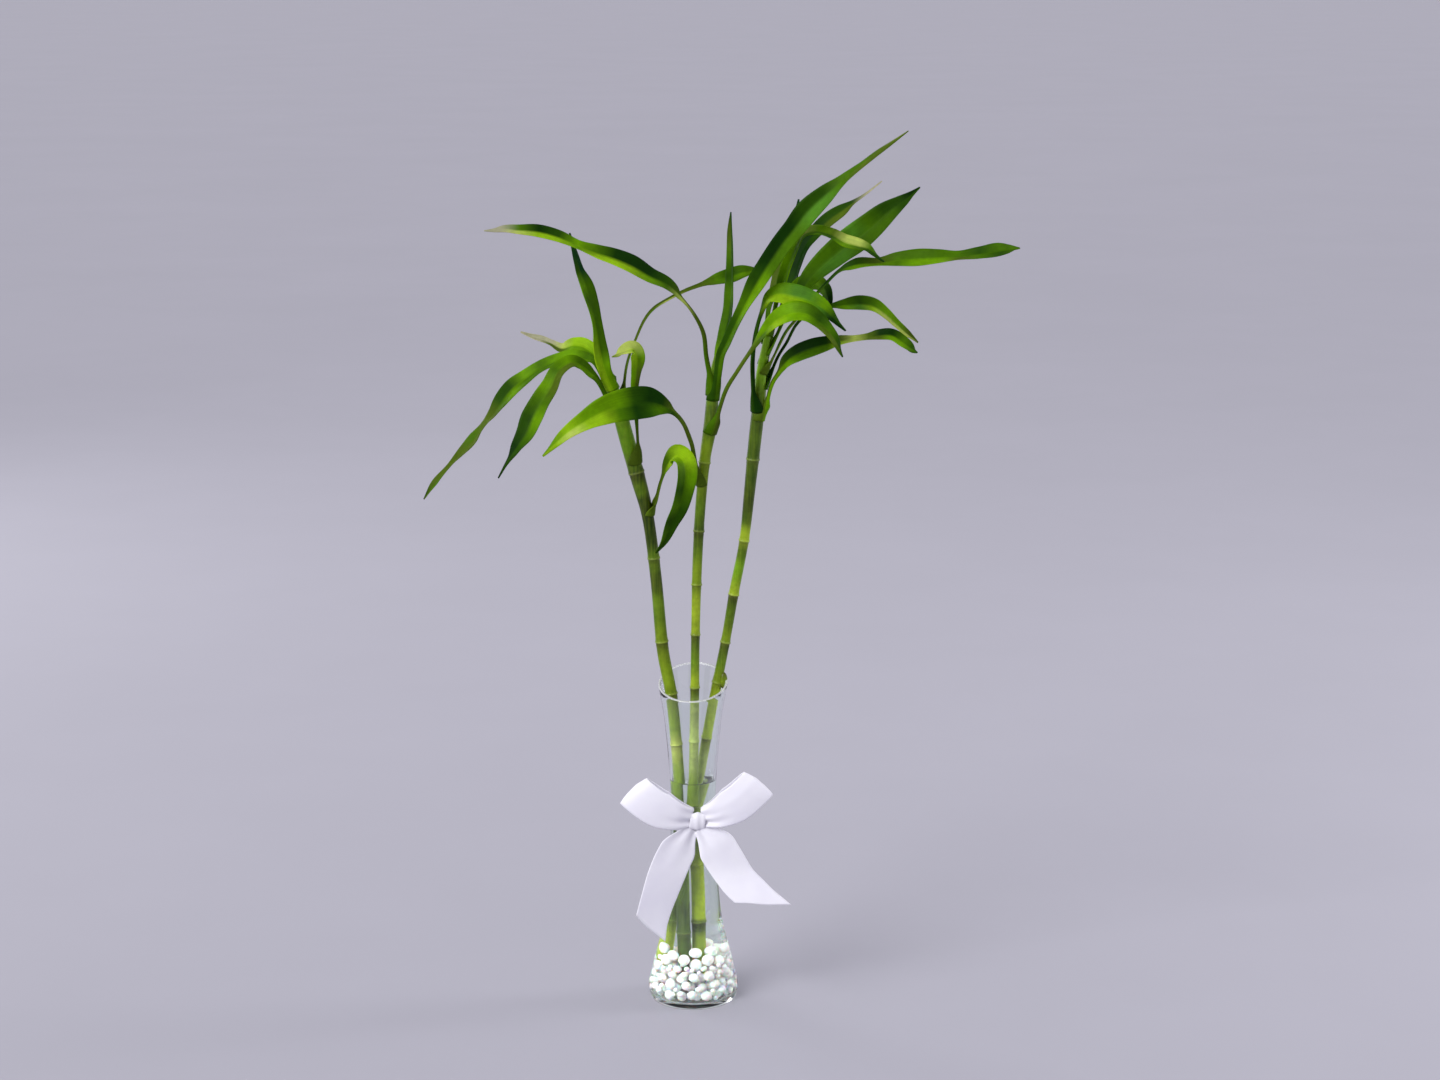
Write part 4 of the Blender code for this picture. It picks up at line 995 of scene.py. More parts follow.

# Each leaf leaves its cane at a height and passes through the points of its path. A point gives
# x, y and z, the width there, how far the face is turned from the front, 0, to its upper side,
# 90 degrees, and the greens above and below the midrib. These greens are partly the leaf's own
# colour and partly painted light and shade: the two halves differ as a fold's lit and shaded
# sides would, and the shade and bright greens stand for shaded and lit stretches.
leaves = {
    "leaf_left_upright": dict(stalk="left", height=397, path=[
        (-54, -12, 411.5, 8.5, 20, "fresh", "bright"), (-56.5, -11, 422.5, 10.5, 35, "mid", "bright"),
        (-58, -10, 433.5, 9.6, 51, "mid", "fresh"), (-60, -9, 443.5, 11, 60, "mid", "fresh"),
        (-62.5, -7, 452.5, 13.5, 60, "mid", "mid"), (-65, -5, 461.5, 10.4, 45, "mid", "fresh"),
        (-68.5, -3, 470.5, 6, 30, "dusk", "deep"), (-71.5, 0, 481, 4.1, 25, "dusk", "dusk"),
        (-75, 3, 493, 0.9, 20, "dusk", "deep"),
    ]),
    "leaf_left_long": dict(stalk="left", height=388, path=[
        (-60, 2, 411, 4.1, 60, "mid", "mid"), (-67, 6, 414.5, 11.2, 60, "mid", "fresh"),
        (-75, 10, 415.5, 11.2, 60, "fresh", "bright"), (-84, 16, 412.5, 10.3, 57, "fresh", "mid"),
        (-95, 21, 407, 10.4, 53, "mid", "mid"), (-105, 23, 400, 11.5, 45, "fresh", "mid"),
        (-113.5, 25, 393, 13.3, 45, "deep", "fresh"), (-120.5, 26, 384.5, 12.7, 50, "deep", "mid"),
        (-125.5, 25.5, 377, 10.1, 60, "olive", "olive"), (-131.5, 25, 369.5, 9.1, 76, "olive", "olive"),
        (-138, 24, 361, 9.9, 55, "mid", "olive"), (-145.5, 24, 353, 6.9, 50, "olive", "olive"),
        (-154, 25, 343, 5.6, 70, "olive", "olive"), (-163, 26, 332.5, 6.1, 55, "olive", "mid"),
        (-170.5, 27, 322, 1, 50, "deep", "olive"),
    ]),
    "leaf_left_droop": dict(stalk="left", height=383, path=[
        (-56.5, -15, 403, 4.1, 40, "mid", "mid"), (-62.5, -18, 410, 6.9, 45, "mid", "fresh"),
        (-68.5, -22, 415.5, 8.5, 50, "mid", "fresh"), (-74.5, -26, 417, 10.4, 50, "fresh", "olive"),
        (-81.5, -30, 412, 11.1, 40, "mid", "olive"), (-86, -33, 403, 12.6, 35, "fresh", "olive"),
        (-91.5, -36, 394.5, 13.3, 30, "mid", "mid"), (-96.5, -39, 385, 14.7, 30, "deep", "fresh"),
        (-100.5, -41, 376, 12.6, 30, "deep", "mid"), (-106, -43, 368, 8.1, 35, "shade", "deep"),
        (-112, -44, 359, 3, 35, "shade", "deep"), (-117.5, -45, 349, 0.9, 35, "shade", "shade"),
    ]),
    "leaf_left_grey_tip": dict(stalk="left", height=399, path=[
        (-55.5, 13, 409, 8.7, 50, "mid", "fresh"), (-61.5, 19, 415.5, 10.6, 40, "fresh", "mid"),
        (-68, 25, 419.5, 11.4, 40, "bright", "fresh"), (-75, 30, 420, 10.7, 50, "bright", "fresh"),
        (-82.5, 34, 417.5, 8.8, 60, "pale", "olive"), (-89.5, 38, 420, 5.5, 55, "grey", "olive"),
        (-96, 42, 422, 5.4, 50, "grey", "grey"), (-102.5, 45, 423.5, 3.6, 45, "grey", "grey"),
        (-109, 47, 426, 1, 40, "grey", "grey"),
    ]),
    "leaf_left_curled": dict(stalk="left", height=350, path=[
        (-33.5, -14, 369.5, 2, 30, "olive", "olive"), (-34, -16, 380, 2.7, 20, "mid", "mid"),
        (-34.5, -18, 390, 4, 15, "mid", "mid"), (-35, -20, 400.5, 5, 10, "olive", "fresh"),
        (-34, -22, 410.5, 6.3, 15, "olive", "fresh"), (-33, -24, 419.5, 9.1, 20, "fresh", "bright"),
        (-35.5, -26, 425.5, 10.3, 45, "pale", "bright"), (-41, -28, 424.5, 9.7, 60, "pale", "pale"),
        (-48.5, -29, 421, 1.2, 70, "pale", "olive"),
    ]),
    "leaf_left_arching": dict(stalk="left", height=386, path=[
        (-41.5, 3, 403, 2.7, 50, "olive", "olive"), (-39.5, 7, 414, 2.7, 55, "olive", "mid"),
        (-35.5, 11, 424.5, 2.7, 60, "olive", "olive"), (-30, 16, 436.5, 3.1, 60, "olive", "olive"),
        (-24, 19, 444, 3.4, 60, "olive", "mid"), (-15, 22, 449.5, 3.4, 60, "olive", "pale"),
        (-4, 26, 454.5, 3.8, 60, "olive", "olive"), (6.5, 29, 458, 4.8, 55, "olive", "olive"),
        (16, 31, 461, 9.7, 50, "mid", "mid"), (24.5, 33, 463, 11.5, 45, "deep", "mid"),
        (32, 34, 465.5, 9.7, 45, "mid", "fresh"), (42.5, 35, 466.5, 1.9, 50, "mid", "mid"),
    ]),
    "leaf_left_folded": dict(stalk="left", height=317, path=[
        (-20.5, -9, 335.5, 2.7, 40, "olive", "olive"), (-17.5, -13, 345.5, 3.4, 45, "olive", "mid"),
        (-14.5, -16, 353.5, 9.7, 55, "mid", "bright"), (-10, -19, 358.5, 16, 60, "bright", "bright"),
        (-5, -22, 355.5, 16.3, 50, "bright", "fresh"), (-3.5, -24, 347, 13.5, 30, "fresh", "mid"),
        (-5, -25, 337, 12.2, 25, "mid", "deep"), (-8, -25, 326.5, 10.9, 25, "deep", "mid"),
        (-12.5, -23, 317, 8.9, 25, "deep", "deep"), (-17, -21, 306, 5.7, 30, "deep", "mid"),
        (-22.5, -19, 297, 1.2, 30, "deep", "deep"),
    ]),
    "leaf_middle_arching": dict(stalk="middle", height=392, path=[
        (11, -1, 404, 3.4, 30, "mid", "mid"), (9, -3, 418, 3.4, 30, "olive", "mid"),
        (7.5, -7, 432, 3.4, 35, "olive", "olive"), (2.5, -11, 443.5, 3, 45, "olive", "olive"),
        (-5, -15, 454, 3.4, 50, "olive", "pale"), (-14.5, -18, 463.5, 10.6, 55, "deep", "mid"),
        (-25.5, -20, 469, 13.2, 55, "shade", "fresh"), (-36, -22, 475.2, 16, 55, "shade", "bright"),
        (-46.5, -24, 480, 14.8, 55, "shade", "bright"), (-57, -26, 483.6, 13.2, 60, "mid", "bright"),
        (-68.5, -28, 488.3, 9.7, 64, "fresh", "fresh"), (-80, -29, 493.5, 10.5, 55, "deep", "bright"),
        (-92.5, -31, 497, 10.3, 50, "shade", "bright"), (-104, -32, 498, 8.4, 55, "mid", "pale"),
        (-114.5, -33, 499, 6, 60, "grey", "grey"), (-124.5, -34, 498, 0.9, 60, "grey", "grey"),
    ]),
    "leaf_middle_broad": dict(stalk="middle", height=335, path=[
        (1, -9, 359, 3.1, 30, "olive", "olive"), (-1.5, -13, 369, 3.4, 35, "olive", "olive"),
        (-5.5, -17, 379, 3.4, 40, "olive", "olive"), (-11.5, -20, 386, 4.7, 40, "olive", "deep"),
        (-18.5, -23, 390, 12.7, 35, "shade", "mid"), (-26, -26, 392, 19.7, 30, "shade", "deep"),
        (-35, -29, 392, 20.9, 25, "deep", "shade"), (-45.5, -32, 390.5, 19.4, 20, "fresh", "mid"),
        (-55, -35, 387.5, 16.8, 20, "fresh", "bright"), (-64, -37, 383, 12.7, 25, "fresh", "bright"),
        (-74, -40, 377, 9.1, 30, "bright", "pale"), (-82.5, -41, 370, 5.6, 30, "fresh", "bright"),
        (-90.5, -42, 362, 1.2, 30, "fresh", "bright"),
    ]),
    "leaf_middle_spike": dict(stalk="middle", height=399, path=[
        (17, 9, 417.5, 7.7, 50, "fresh", "deep"), (19, 11, 427, 8.7, 50, "mid", "deep"),
        (21.5, 13, 437, 9.2, 50, "mid", "deep"), (23, 15, 446, 9.7, 55, "mid", "deep"),
        (23.5, 15.5, 455, 10.5, 60, "mid", "mid"), (24, 16, 465, 9.3, 60, "deep", "deep"),
        (24, 16.5, 476, 8.1, 60, "mid", "deep"), (24, 17, 487.5, 6.8, 60, "olive", "deep"),
        (24, 17.5, 496.5, 4.3, 55, "olive", "deep"), (24, 18, 504.5, 0.9, 50, "dusk", "dusk"),
    ]),
    "leaf_middle_long": dict(stalk="middle", height=389, path=[
        (17, -3, 415.5, 6.4, 40, "deep", "mid"), (21.5, -6, 427, 7.4, 42, "deep", "mid"),
        (26.5, -9, 438.5, 7.8, 45, "deep", "mid"), (32, -13, 450, 9, 42, "mid", "fresh"),
        (39, -17, 463.5, 12.6, 35, "deep", "fresh"), (46.5, -20, 476, 13.3, 30, "shade", "mid"),
        (54, -22, 487.5, 13.4, 25, "shade", "mid"), (62, -24, 498, 13.7, 22, "shade", "mid"),
        (70, -25, 508.5, 14.9, 22, "deep", "leafy"), (80.5, -26, 518.5, 12.3, 28, "deep", "leafy"),
        (90.5, -26.5, 527, 8.4, 50, "mid", "mid"), (101, -27, 536, 6, 60, "mid", "olive"),
        (115, -27, 547, 4.8, 60, "olive", "olive"), (130, -26, 557, 0.9, 60, "grey", "olive"),
    ]),
    "leaf_middle_low": dict(stalk="middle", height=368, path=[
        (19.5, -8, 395, 3.4, 40, "mid", "olive"), (27.5, -13, 410, 3.4, 45, "olive", "olive"),
        (36, -19, 424, 4, 50, "olive", "olive"), (43.5, -25, 435, 7.6, 50, "fresh", "mid"),
        (51, -31, 443.5, 12.2, 50, "fresh", "bright"), (60, -36, 448.5, 16, 50, "fresh", "fresh"),
        (69, -39, 448.5, 14.4, 48, "mid", "fresh"), (76, -41, 444.5, 11.9, 45, "deep", "mid"),
        (82, -44, 439, 8.6, 40, "mid", "olive"), (87, -46, 432.5, 6.3, 40, "deep", "olive"),
        (91, -48, 423.5, 0.9, 40, "shade", "deep"),
    ]),
    "leaf_right_front": dict(stalk="right", height=382, path=[
        (37, -8, 405, 3.4, 30, "deep", "shade"), (37, -9.5, 417.5, 3.4, 32, "deep", "shade"),
        (38.5, -11, 431.5, 3.4, 35, "shade", "deep"), (41.5, -13, 444, 3.4, 40, "deep", "deep"),
        (46, -15, 454.5, 6.9, 45, "fresh", "bright"), (53, -18, 458, 13.5, 40, "fresh", "bright"),
        (61.5, -21, 457, 15.6, 35, "leafy", "bright"), (70.5, -24, 455, 13.6, 32, "leafy", "fresh"),
        (78.5, -26, 451, 11.1, 35, "fresh", "leafy"), (85.5, -28, 445, 6.2, 38, "deep", "shade"),
        (93.5, -30, 437, 1.2, 40, "deep", "shade"),
    ]),
    "leaf_right_upright": dict(stalk="right", height=424, path=[
        (48, 9, 446, 4.8, 50, "mid", "mid"), (52, 13, 457.5, 8.8, 45, "olive", "mid"),
        (55.5, 16, 470, 10.8, 42, "olive", "mid"), (59.5, 18, 482, 9.7, 40, "mid", "deep"),
        (62.5, 20, 494, 7.5, 42, "deep", "deep"), (65, 21, 503.5, 4.4, 40, "dusk", "dusk"),
        (66, 22, 512, 1.2, 40, "dusk", "dusk"),
    ]),
    "leaf_right_narrow": dict(stalk="right", height=399, path=[
        (51.5, 16, 435, 3.4, 50, "mid", "deep"), (56.5, 27, 445, 4.1, 50, "mid", "deep"),
        (62, 37, 456.5, 7.5, 48, "deep", "shade"), (65.5, 43, 468.5, 8.9, 45, "shade", "shade"),
        (70, 46, 480, 9.3, 42, "shade", "shade"), (77, 48, 488.5, 9.9, 40, "shade", "deep"),
        (85, 49.5, 496, 10.4, 38, "deep", "olive"), (93.5, 50.5, 502, 8.8, 38, "deep", "olive"),
        (101, 51.5, 507, 4.4, 50, "deep", "olive"), (109, 52.5, 512.5, 2.2, 55, "grey", "grey"),
        (119, 54, 520.5, 0.8, 50, "grey", "grey"),
    ]),
    "leaf_right_wide": dict(stalk="right", height=418, path=[
        (57.5, 3, 440.5, 3.4, 50, "mid", "mid"), (62.5, 5, 448, 4.1, 48, "mid", "deep"),
        (67, 6, 456.5, 8.6, 44, "deep", "mid"), (73.5, 7, 465.5, 13.3, 38, "mid", "mid"),
        (81.5, 8, 473.5, 16, 32, "mid", "leafy"), (91, 8, 481.5, 18.1, 28, "mid", "leafy"),
        (101, 7.5, 489, 19, 25, "leafy", "mid"), (110, 7, 496.5, 17.6, 25, "mid", "mid"),
        (119, 6, 504.5, 14.6, 28, "deep", "mid"), (127.5, 5, 511, 9.4, 32, "deep", "deep"),
        (133.5, 4, 515.5, 5.3, 36, "shade", "deep"), (139.5, 2, 521, 0.9, 40, "shade", "deep"),
    ]),
    "leaf_right_pale": dict(stalk="right", height=430, path=[
        (51.5, -7, 452.5, 4, 40, "fresh", "mid"), (55, -9, 463.5, 7.4, 42, "mid", "fresh"),
        (58.5, -12, 475.5, 8.6, 45, "fresh", "fresh"), (63, -15, 487, 8.5, 50, "fresh", "mid"),
        (68, -18, 494.5, 9.7, 60, "pale", "mid"), (76.5, -21, 496.5, 9.7, 60, "fresh", "mid"),
        (85, -24, 494.5, 10.3, 58, "olive", "deep"), (92.5, -26, 490.5, 11.6, 55, "pale", "fresh"),
        (100.5, -29, 488.5, 10.5, 55, "pale", "mid"), (107, -31, 486.5, 6.8, 58, "mid", "deep"),
        (116, -35, 479.5, 1.2, 60, "deep", "shade"),
    ]),
    "leaf_right_long": dict(stalk="right", height=406, path=[
        (56.5, -7, 430.5, 2.7, 50, "deep", "olive"), (64, -9, 441, 2.7, 50, "olive", "olive"),
        (73, -11, 453, 2.7, 50, "mid", "olive"), (82, -13, 463.5, 2.7, 50, "shade", "deep"),
        (90, -15, 471.5, 3.3, 52, "deep", "deep"), (100.5, -18, 476, 9.5, 55, "deep", "fresh"),
        (113, -20, 477, 8.8, 65, "olive", "fresh"), (124.5, -22, 479, 11.3, 50, "mid", "mid"),
        (136.5, -24, 480, 13.6, 48, "mid", "fresh"), (149, -26, 481, 11.8, 52, "mid", "fresh"),
        (161.5, -27, 481.5, 10.7, 67, "mid", "olive"), (174, -28.5, 483.5, 10.6, 55, "deep", "mid"),
        (186, -29.5, 485.5, 11.6, 55, "mid", "deep"), (198, -30, 487, 1.2, 60, "mid", "mid"),
    ]),
    "leaf_right_droop": dict(stalk="right", height=396, path=[
        (52.5, 6, 414, 2.7, 50, "deep", "deep"), (59, 10, 424.5, 2.7, 50, "shade", "deep"),
        (65, 14, 435, 2.7, 50, "deep", "deep"), (74, 18, 442.5, 3.1, 50, "mid", "deep"),
        (84.5, 21, 445, 3.4, 50, "deep", "shade"), (95, 23, 446, 8.7, 50, "mid", "fresh"),
        (104.5, 25, 446.5, 13.1, 55, "deep", "leafy"), (113, 26, 445, 13, 58, "mid", "bright"),
        (120.5, 27, 440, 9.8, 55, "fresh", "pale"), (128, 28.5, 433, 7.1, 52, "fresh", "pale"),
        (134.5, 29.5, 427, 5.9, 50, "olive", "pale"), (141.5, 30.5, 421.5, 1.3, 50, "olive", "olive"),
    ]),
    "leaf_right_low": dict(stalk="right", height=377, path=[
        (48, -4, 398, 3.4, 40, "olive", "fresh"), (53, -7, 408, 4.1, 42, "olive", "fresh"),
        (58.5, -11, 416, 8.8, 40, "deep", "fresh"), (65.5, -14, 421, 11.7, 38, "shade", "mid"),
        (74, -16, 424.5, 12.4, 38, "shade", "mid"), (82.5, -17, 427, 10.7, 42, "shade", "mid"),
        (90.5, -18, 429, 8.7, 56, "olive", "bright"), (99, -19, 430, 8.7, 74, "pale", "pale"),
        (107.5, -20, 431.5, 8.7, 72, "olive", "olive"), (114.5, -21, 433, 9, 55, "shade", "olive"),
        (122, -22, 433, 9.5, 50, "shade", "fresh"), (128.5, -23, 429, 9.5, 50, "mid", "fresh"),
        (133.5, -24, 425.5, 6.9, 52, "deep", "mid"), (137.5, -25, 423, 1.2, 55, "deep", "deep"),
    ]),
    "leaf_right_back": dict(stalk="right", height=411, path=[
        (49.5, 8, 429.5, 3.1, 60, "mid", "olive"), (54.5, 13, 440.5, 4.1, 57, "mid", "mid"),
        (60.5, 19, 450, 10.6, 54, "mid", "mid"), (68.5, 25, 457, 14.6, 50, "fresh", "mid"),
        (76, 29, 459, 14.6, 50, "fresh", "mid"), (82.5, 33, 455, 9.8, 40, "deep", "mid"),
        (85, 36, 449, 6.9, 35, "shade", "deep"), (87, 38, 442, 1.3, 35, "shade", "shade"),
    ]),
}


def veinGroup():
    # the parallel veins, midrib and pale edge of a leaf that lies in a 0 to 1 UV square
    inputs = {"Place": "Vector", "Tone": "Color", "Light": "Color", "Veins": "Float", "Contrast": "Float"}
    group, given, result = newGroup("leafVeins", inputs, {"Colour": "Color", "Height": "Float"})
    place = given["Place"]
    sideways = addNode(group, "SeparateXYZ", {0: place})[0]
    # the veins stray a little from straight, and finer streaks lie over them
    stray = noiseOf(group, scaled(group, place, (3, 5, 1)), 1.0, 2)
    across = blended(group, (sideways, 1.0), (stray, 0.03))
    turns = calc(group, "MULTIPLY", given["Veins"], math.tau)
    lines = mapTo(group, calc(group, "SINE", calc(group, "MULTIPLY", across, turns)), -1, 1)
    streaks = mapTo(group, noiseOf(group, scaled(group, place, (46, 3, 1)), 1.0, 3), 0.3, 0.7)
    veins = blended(group, (lines, 0.35), (streaks, 0.65))
    # the distance from the middle, as a share of the width, gives the midrib and the edge
    side = calc(group, "ABSOLUTE", calc(group, "SUBTRACT", sideways, 0.5))
    midrib = mapTo(group, side, 0.015, 0.055, 1, 0)
    edge = mapTo(group, side, 0.465, 0.495)
    share = blended(group, (veins, given["Contrast"]), (midrib, 0.18), (edge, 0.35))
    values = {
        "Colour": mixColour(group, share, given["Tone"], given["Light"]),
        "Height": blended(group, (veins, 0.5), (midrib, -1.0)),
    }
    setSockets(group, result, values)
    return group


def leafMaterial(name, contrast, patches, polish):
    material, tree, shader = newMaterial(name)
    tone = lightened(tree, toneOf(tree), cloudy(tree, *patches))
    leaf = {
        "Place": coordinates(tree, "UV"),
        "Tone": tone,
        "Light": mixColour(tree, 1.0, tone, leafLook["veinLight"], "MULTIPLY"),
        "Veins": leafLook["veinCount"],
        "Contrast": contrast,
    }
    blade = placeGroup(tree, veins, leaf)
    values = {
        "Base Color": blade["Colour"],
        "Specular IOR Level": leafLook["specular"],
        "Roughness": cloudy(tree, *polish),
        "Normal": bumpOf(tree, blade["Height"], *leafLook["veinBump"]),
    }
    setSockets(tree, shader, values)
    letLightSoak(tree, shader, blade["Colour"], leafLook["glow"])
    return material


def makeLeaf(node, leaf, materials, rng):
    side, height = leaf["stalk"], leaf["height"] / 1000
    path = inMetres(leaf["path"], 4)
    foot = stalkCentre(side, height)
    axis = (stalkCentre(side, height + leafShape["footStep"]) - foot).normalized()
    out = Vector(path[0][:3]) - foot
    out = (out - axis * out.dot(axis)).normalized()
    radius = stalkRadius(side, height) + clearGap + leafShape["thickness"] / 2
    start = foot + out * radius
    route = [start, *(Vector(point[:3]) for point in path)]
    shapes = [(leafShape["stalkedWidth"], path[0][4]), *(point[3:5] for point in path)]
    # the greens above and below the midrib, partly painted light and shade
    above, below = ([Vector(greens[point[i]]) for point in (path[0], *path)] for i in (5, 6))
    leans = route[-1].x - start.x
    rows = leafShape["rows"]
    places = evenPlaces(route, rows)
    clasp = leafShape["clasp"] / lengthOf(route, places)
    long, short, _ = (rng.uniform(0, math.tau) for _ in range(3))
    # one side of the leaf lies on the cane: the side that its stalk turns there
    stem = between(places, leafShape["baseBlend"] / 2 * rows)
    turned = faceAt(alongAt(route, stem), onCurve(shapes, stem)[1], leans)
    inward = -1 if out.dot(turned) > 0 else 1
    # bent round the cane at its foot, a gutter along its stalk, and nearly flat in the blade
    hugBend = math.pi * leafShape["claspAround"] * inward
    stemBend = leafShape["stemBend"] * inward
    leastBend = leafShape["leastBend"]
    bm = flatGrid(leafShape["cols"], rows)
    tones = bm.verts.layers.float_color.new("tone")
    for vert in bm.verts:
        across, share = vert.co.x, (vert.co.y + 1) / 2
        place = between(places, share * rows)
        along = alongAt(route, place)
        wide, turn = onCurve(shapes, place)
        wide = max(wide, leafShape["tipWidth"])
        opened = smooth((wide - leafShape["stalkedWidth"]) / leafShape["opensOver"])
        face = faceAt(along, turn, leans)
        face = (-inward * out).lerp(face, smooth(share / leafShape["baseBlend"]))
        sideways = along.cross(face).normalized()
        face = sideways.cross(along)
        hug = 1 - smooth(share / clasp)
        wide += (math.pi * radius * leafShape["claspAround"] - wide) * hug
        bend = hugBend * hug + (1 - hug) * (stemBend + (leafShape["bladeBend"] - stemBend) * opened)
        if abs(bend) < leastBend:
            bend = leastBend if bend >= 0 else -leastBend
        curve = wide / abs(bend)
        angle = across * abs(bend) / 2
        rise = math.copysign(curve * (1 - math.cos(angle)), bend)
        fold = math.hypot(across, leafShape["foldSoft"]) - 0.5
        rise += leafShape["fold"] * opened * wide / 2 * fold
        waves = math.sin(share * leafShape["ripples"][0] + long)
        small = math.sin(share * leafShape["ripples"][1] + short + across)
        waves += leafShape["shortShare"] * small
        rise += leafShape["ripple"] * opened * wide * across**2 * waves * (1 - share)
        vert.co = onCurve(route, place) + sideways * curve * math.sin(angle) + face * rise
        # the two halves' greens meet at the midrib; their difference is partly painted light and shade
        lower = smooth((across if leans > 0 else -across) / leafShape["midribBlend"] + 0.5)
        vert[tones] = (*between(above, place).lerp(between(below, place), lower), 1)
    piece = finishPiece(node, bm, materials, 180)
    giveThickness(piece, leafShape["thickness"], backMaterial=1)


# the bow is one 25 mm satin ribbon, in six pieces
ribbon = dict(
    width=0.025,
    thickness=0.0006,
    cols=24,
    shade=(0.90, 0.885, 0.955, 1),
    light=(0.95, 0.94, 0.985, 1),
    glowTint=(0.92, 0.91, 0.98, 1),
    glow=0.28,
    sheen=0.25,
    sheenRough=0.35,
    specular=0.55,
    threadBump=(0.25, 0.0001),
)


def weaveGroup():
    # satin: long fine threads along the ribbon, a faint cross rib and a firm edge
    inputs = {"Place": "Vector", "Width": "Float", "Length": "Float"}
    group, given, result = newGroup("satinWeave", inputs, {"Height": "Float", "Shine": "Float"})
    parts = addNode(group, "SeparateXYZ", {0: given["Place"]})
    across = calc(group, "MULTIPLY", parts[0], given["Width"])
    along = calc(group, "MULTIPLY", parts[1], given["Length"])
    # nine threads to a millimetre, each far longer than it is wide
    thick, long = calc(group, "MULTIPLY", across, 9.0), calc(group, "MULTIPLY", along, 0.22)
    threads = noiseOf(group, addNode(group, "CombineXYZ", {0: thick, 1: long})[0], 1.0, 2)
    ribs = mapTo(group, calc(group, "SINE", calc(group, "MULTIPLY", along, 14.0)), -1, 1)
    side = calc(group, "ABSOLUTE", calc(group, "SUBTRACT", parts[0], 0.5))
    edge = mapTo(group, side, 0.455, 0.475)
    values = {
        "Height": blended(group, (threads, 0.6), (ribs, 0.15), (edge, 1.0)),
        "Shine": mapTo(group, calc(group, "ADD", threads, edge), 0.3, 1.2, 0.34, 0.52),
    }
    setSockets(group, result, values)
    return group


def whiteSatin(node, length):
    material, tree, shader = newMaterial(camelName(node).replace("ribbon", "satin"))
    # the weave is given in millimetres
    size = {"Width": ribbon["width"] * 1000, "Length": length * 1000}
    cloth = placeGroup(tree, weave, {"Place": coordinates(tree, "UV"), **size})
    soft = mapTo(tree, noiseOf(tree, coordinates(tree), 60.0, 2), 0.3, 0.7)
    values = {
        "Base Color": mixColour(tree, soft, ribbon["shade"], ribbon["light"]),
        "Sheen Weight": ribbon["sheen"],
        "Sheen Roughness": ribbon["sheenRough"],
        "Specular IOR Level": ribbon["specular"],
        "Roughness": cloth["Shine"],
        "Normal": bumpOf(tree, cloth["Height"], *ribbon["threadBump"]),
    }
    setSockets(tree, shader, values)
    letLightSoak(tree, shader, ribbon["glowTint"], ribbon["glow"])
    return material


def layStrip(node, rows, cols, length, pointAt, thin, closed=False, offset=0):
    # a ribbon laid where pointAt says, for a place across, -1 to 1, and along, 0 to 1
    bm = flatGrid(cols, rows)
    for vert in bm.verts:
        vert.co = pointAt(vert.co.x, (vert.co.y + 1) / 2)
    if closed:
        bmesh.ops.remove_doubles(bm, verts=bm.verts, dist=mergeGap)
        bmesh.ops.recalc_face_normals(bm, faces=bm.faces)
    piece = finishPiece(node, bm, [whiteSatin(node, length)], 180)
    giveThickness(piece, ribbon["thickness"] * thin, offset)
    return piece


# the ribbon's turn round the vase
band = dict(
    waist=0.1205,
    height=0.0115,
    gap=0.0004,
    gather=0.0019,
    folds=10.5,
    sway=0.5,
    sways=3,
    rows=96,
    cols=28,
    thin=0.6,  # share of the ribbon's thickness
)


def makeBand():
    waist, half = band["waist"], band["height"] / 2
    radius = max(outerRadius(waist - half), outerRadius(waist + half)) + band["gap"]

    def pointAt(across, share):
        angle = math.tau * share
        sway = band["sway"] * math.sin(angle * band["sways"])
        gather = 0.5 + 0.5 * math.cos(across * band["folds"] + sway)
        reach = radius + ribbon["thickness"] / 2 + band["gather"] * gather * (1 - across**4)
        return Vector((reach * math.sin(angle), reach * math.cos(angle), waist + across * half))

    around = math.tau * radius
    piece = layStrip("ribbon_band", band["rows"], band["cols"], around, pointAt, band["thin"], True)


# the knot: a short length with both edges folded under, so that two layers lie on each other
knot = dict(
    centre=(0.003, -0.0188, 0.1235),
    size=(0.0100, 0.0060, 0.0120),
    pleat=0.00025,
    pleats=6.5,
    twist=0.9,
    twistAt=0.6,
    wrap=0.96,  # share of half a turn that the width goes round
    fold=0.0016,
    foldAt=0.4,
    foldOver=0.2,
    hollow=0.0008,
    lean=0.0006,
    rows=48,
    cols=32,
    thin=0.6,
)


def ovalRound(wide, tall):
    # the way round an oval
    return math.pi * (1.5 * (wide + tall) - math.sqrt((3 * wide + tall) * (wide + 3 * tall)) / 2)


def makeKnot():
    wide, deep, tall = knot["size"]
    around = sum(ovalRound(deep - inset, tall - inset) for inset in (0, 2 * knot["fold"])) / 2

    def pointAt(across, share):
        angle = math.tau * share + math.pi
        side = math.sin(math.pi * knot["wrap"] * across)
        under = smooth((abs(across) - knot["foldAt"]) / knot["foldOver"])
        pleat = math.cos(side * knot["pleats"] + knot["twist"] * math.sin(angle + knot["twistAt"]))
        pleat *= (1 - side**4) * (1 - under)
        shrink = knot["pleat"] * (pleat - 1) - knot["fold"] * under - knot["hollow"] * side**2
        x = side * wide / 2 + knot["lean"] * math.sin(angle)
        y = -math.cos(angle) * (deep / 2 + shrink)
        z = math.sin(angle) * (tall / 2 + shrink)
        return Vector(knot["centre"]) + Vector((x, y, z))

    rows, cols = knot["rows"], knot["cols"]
    piece = layStrip("ribbon_knot", rows, cols, around, pointAt, knot["thin"], True, -1)


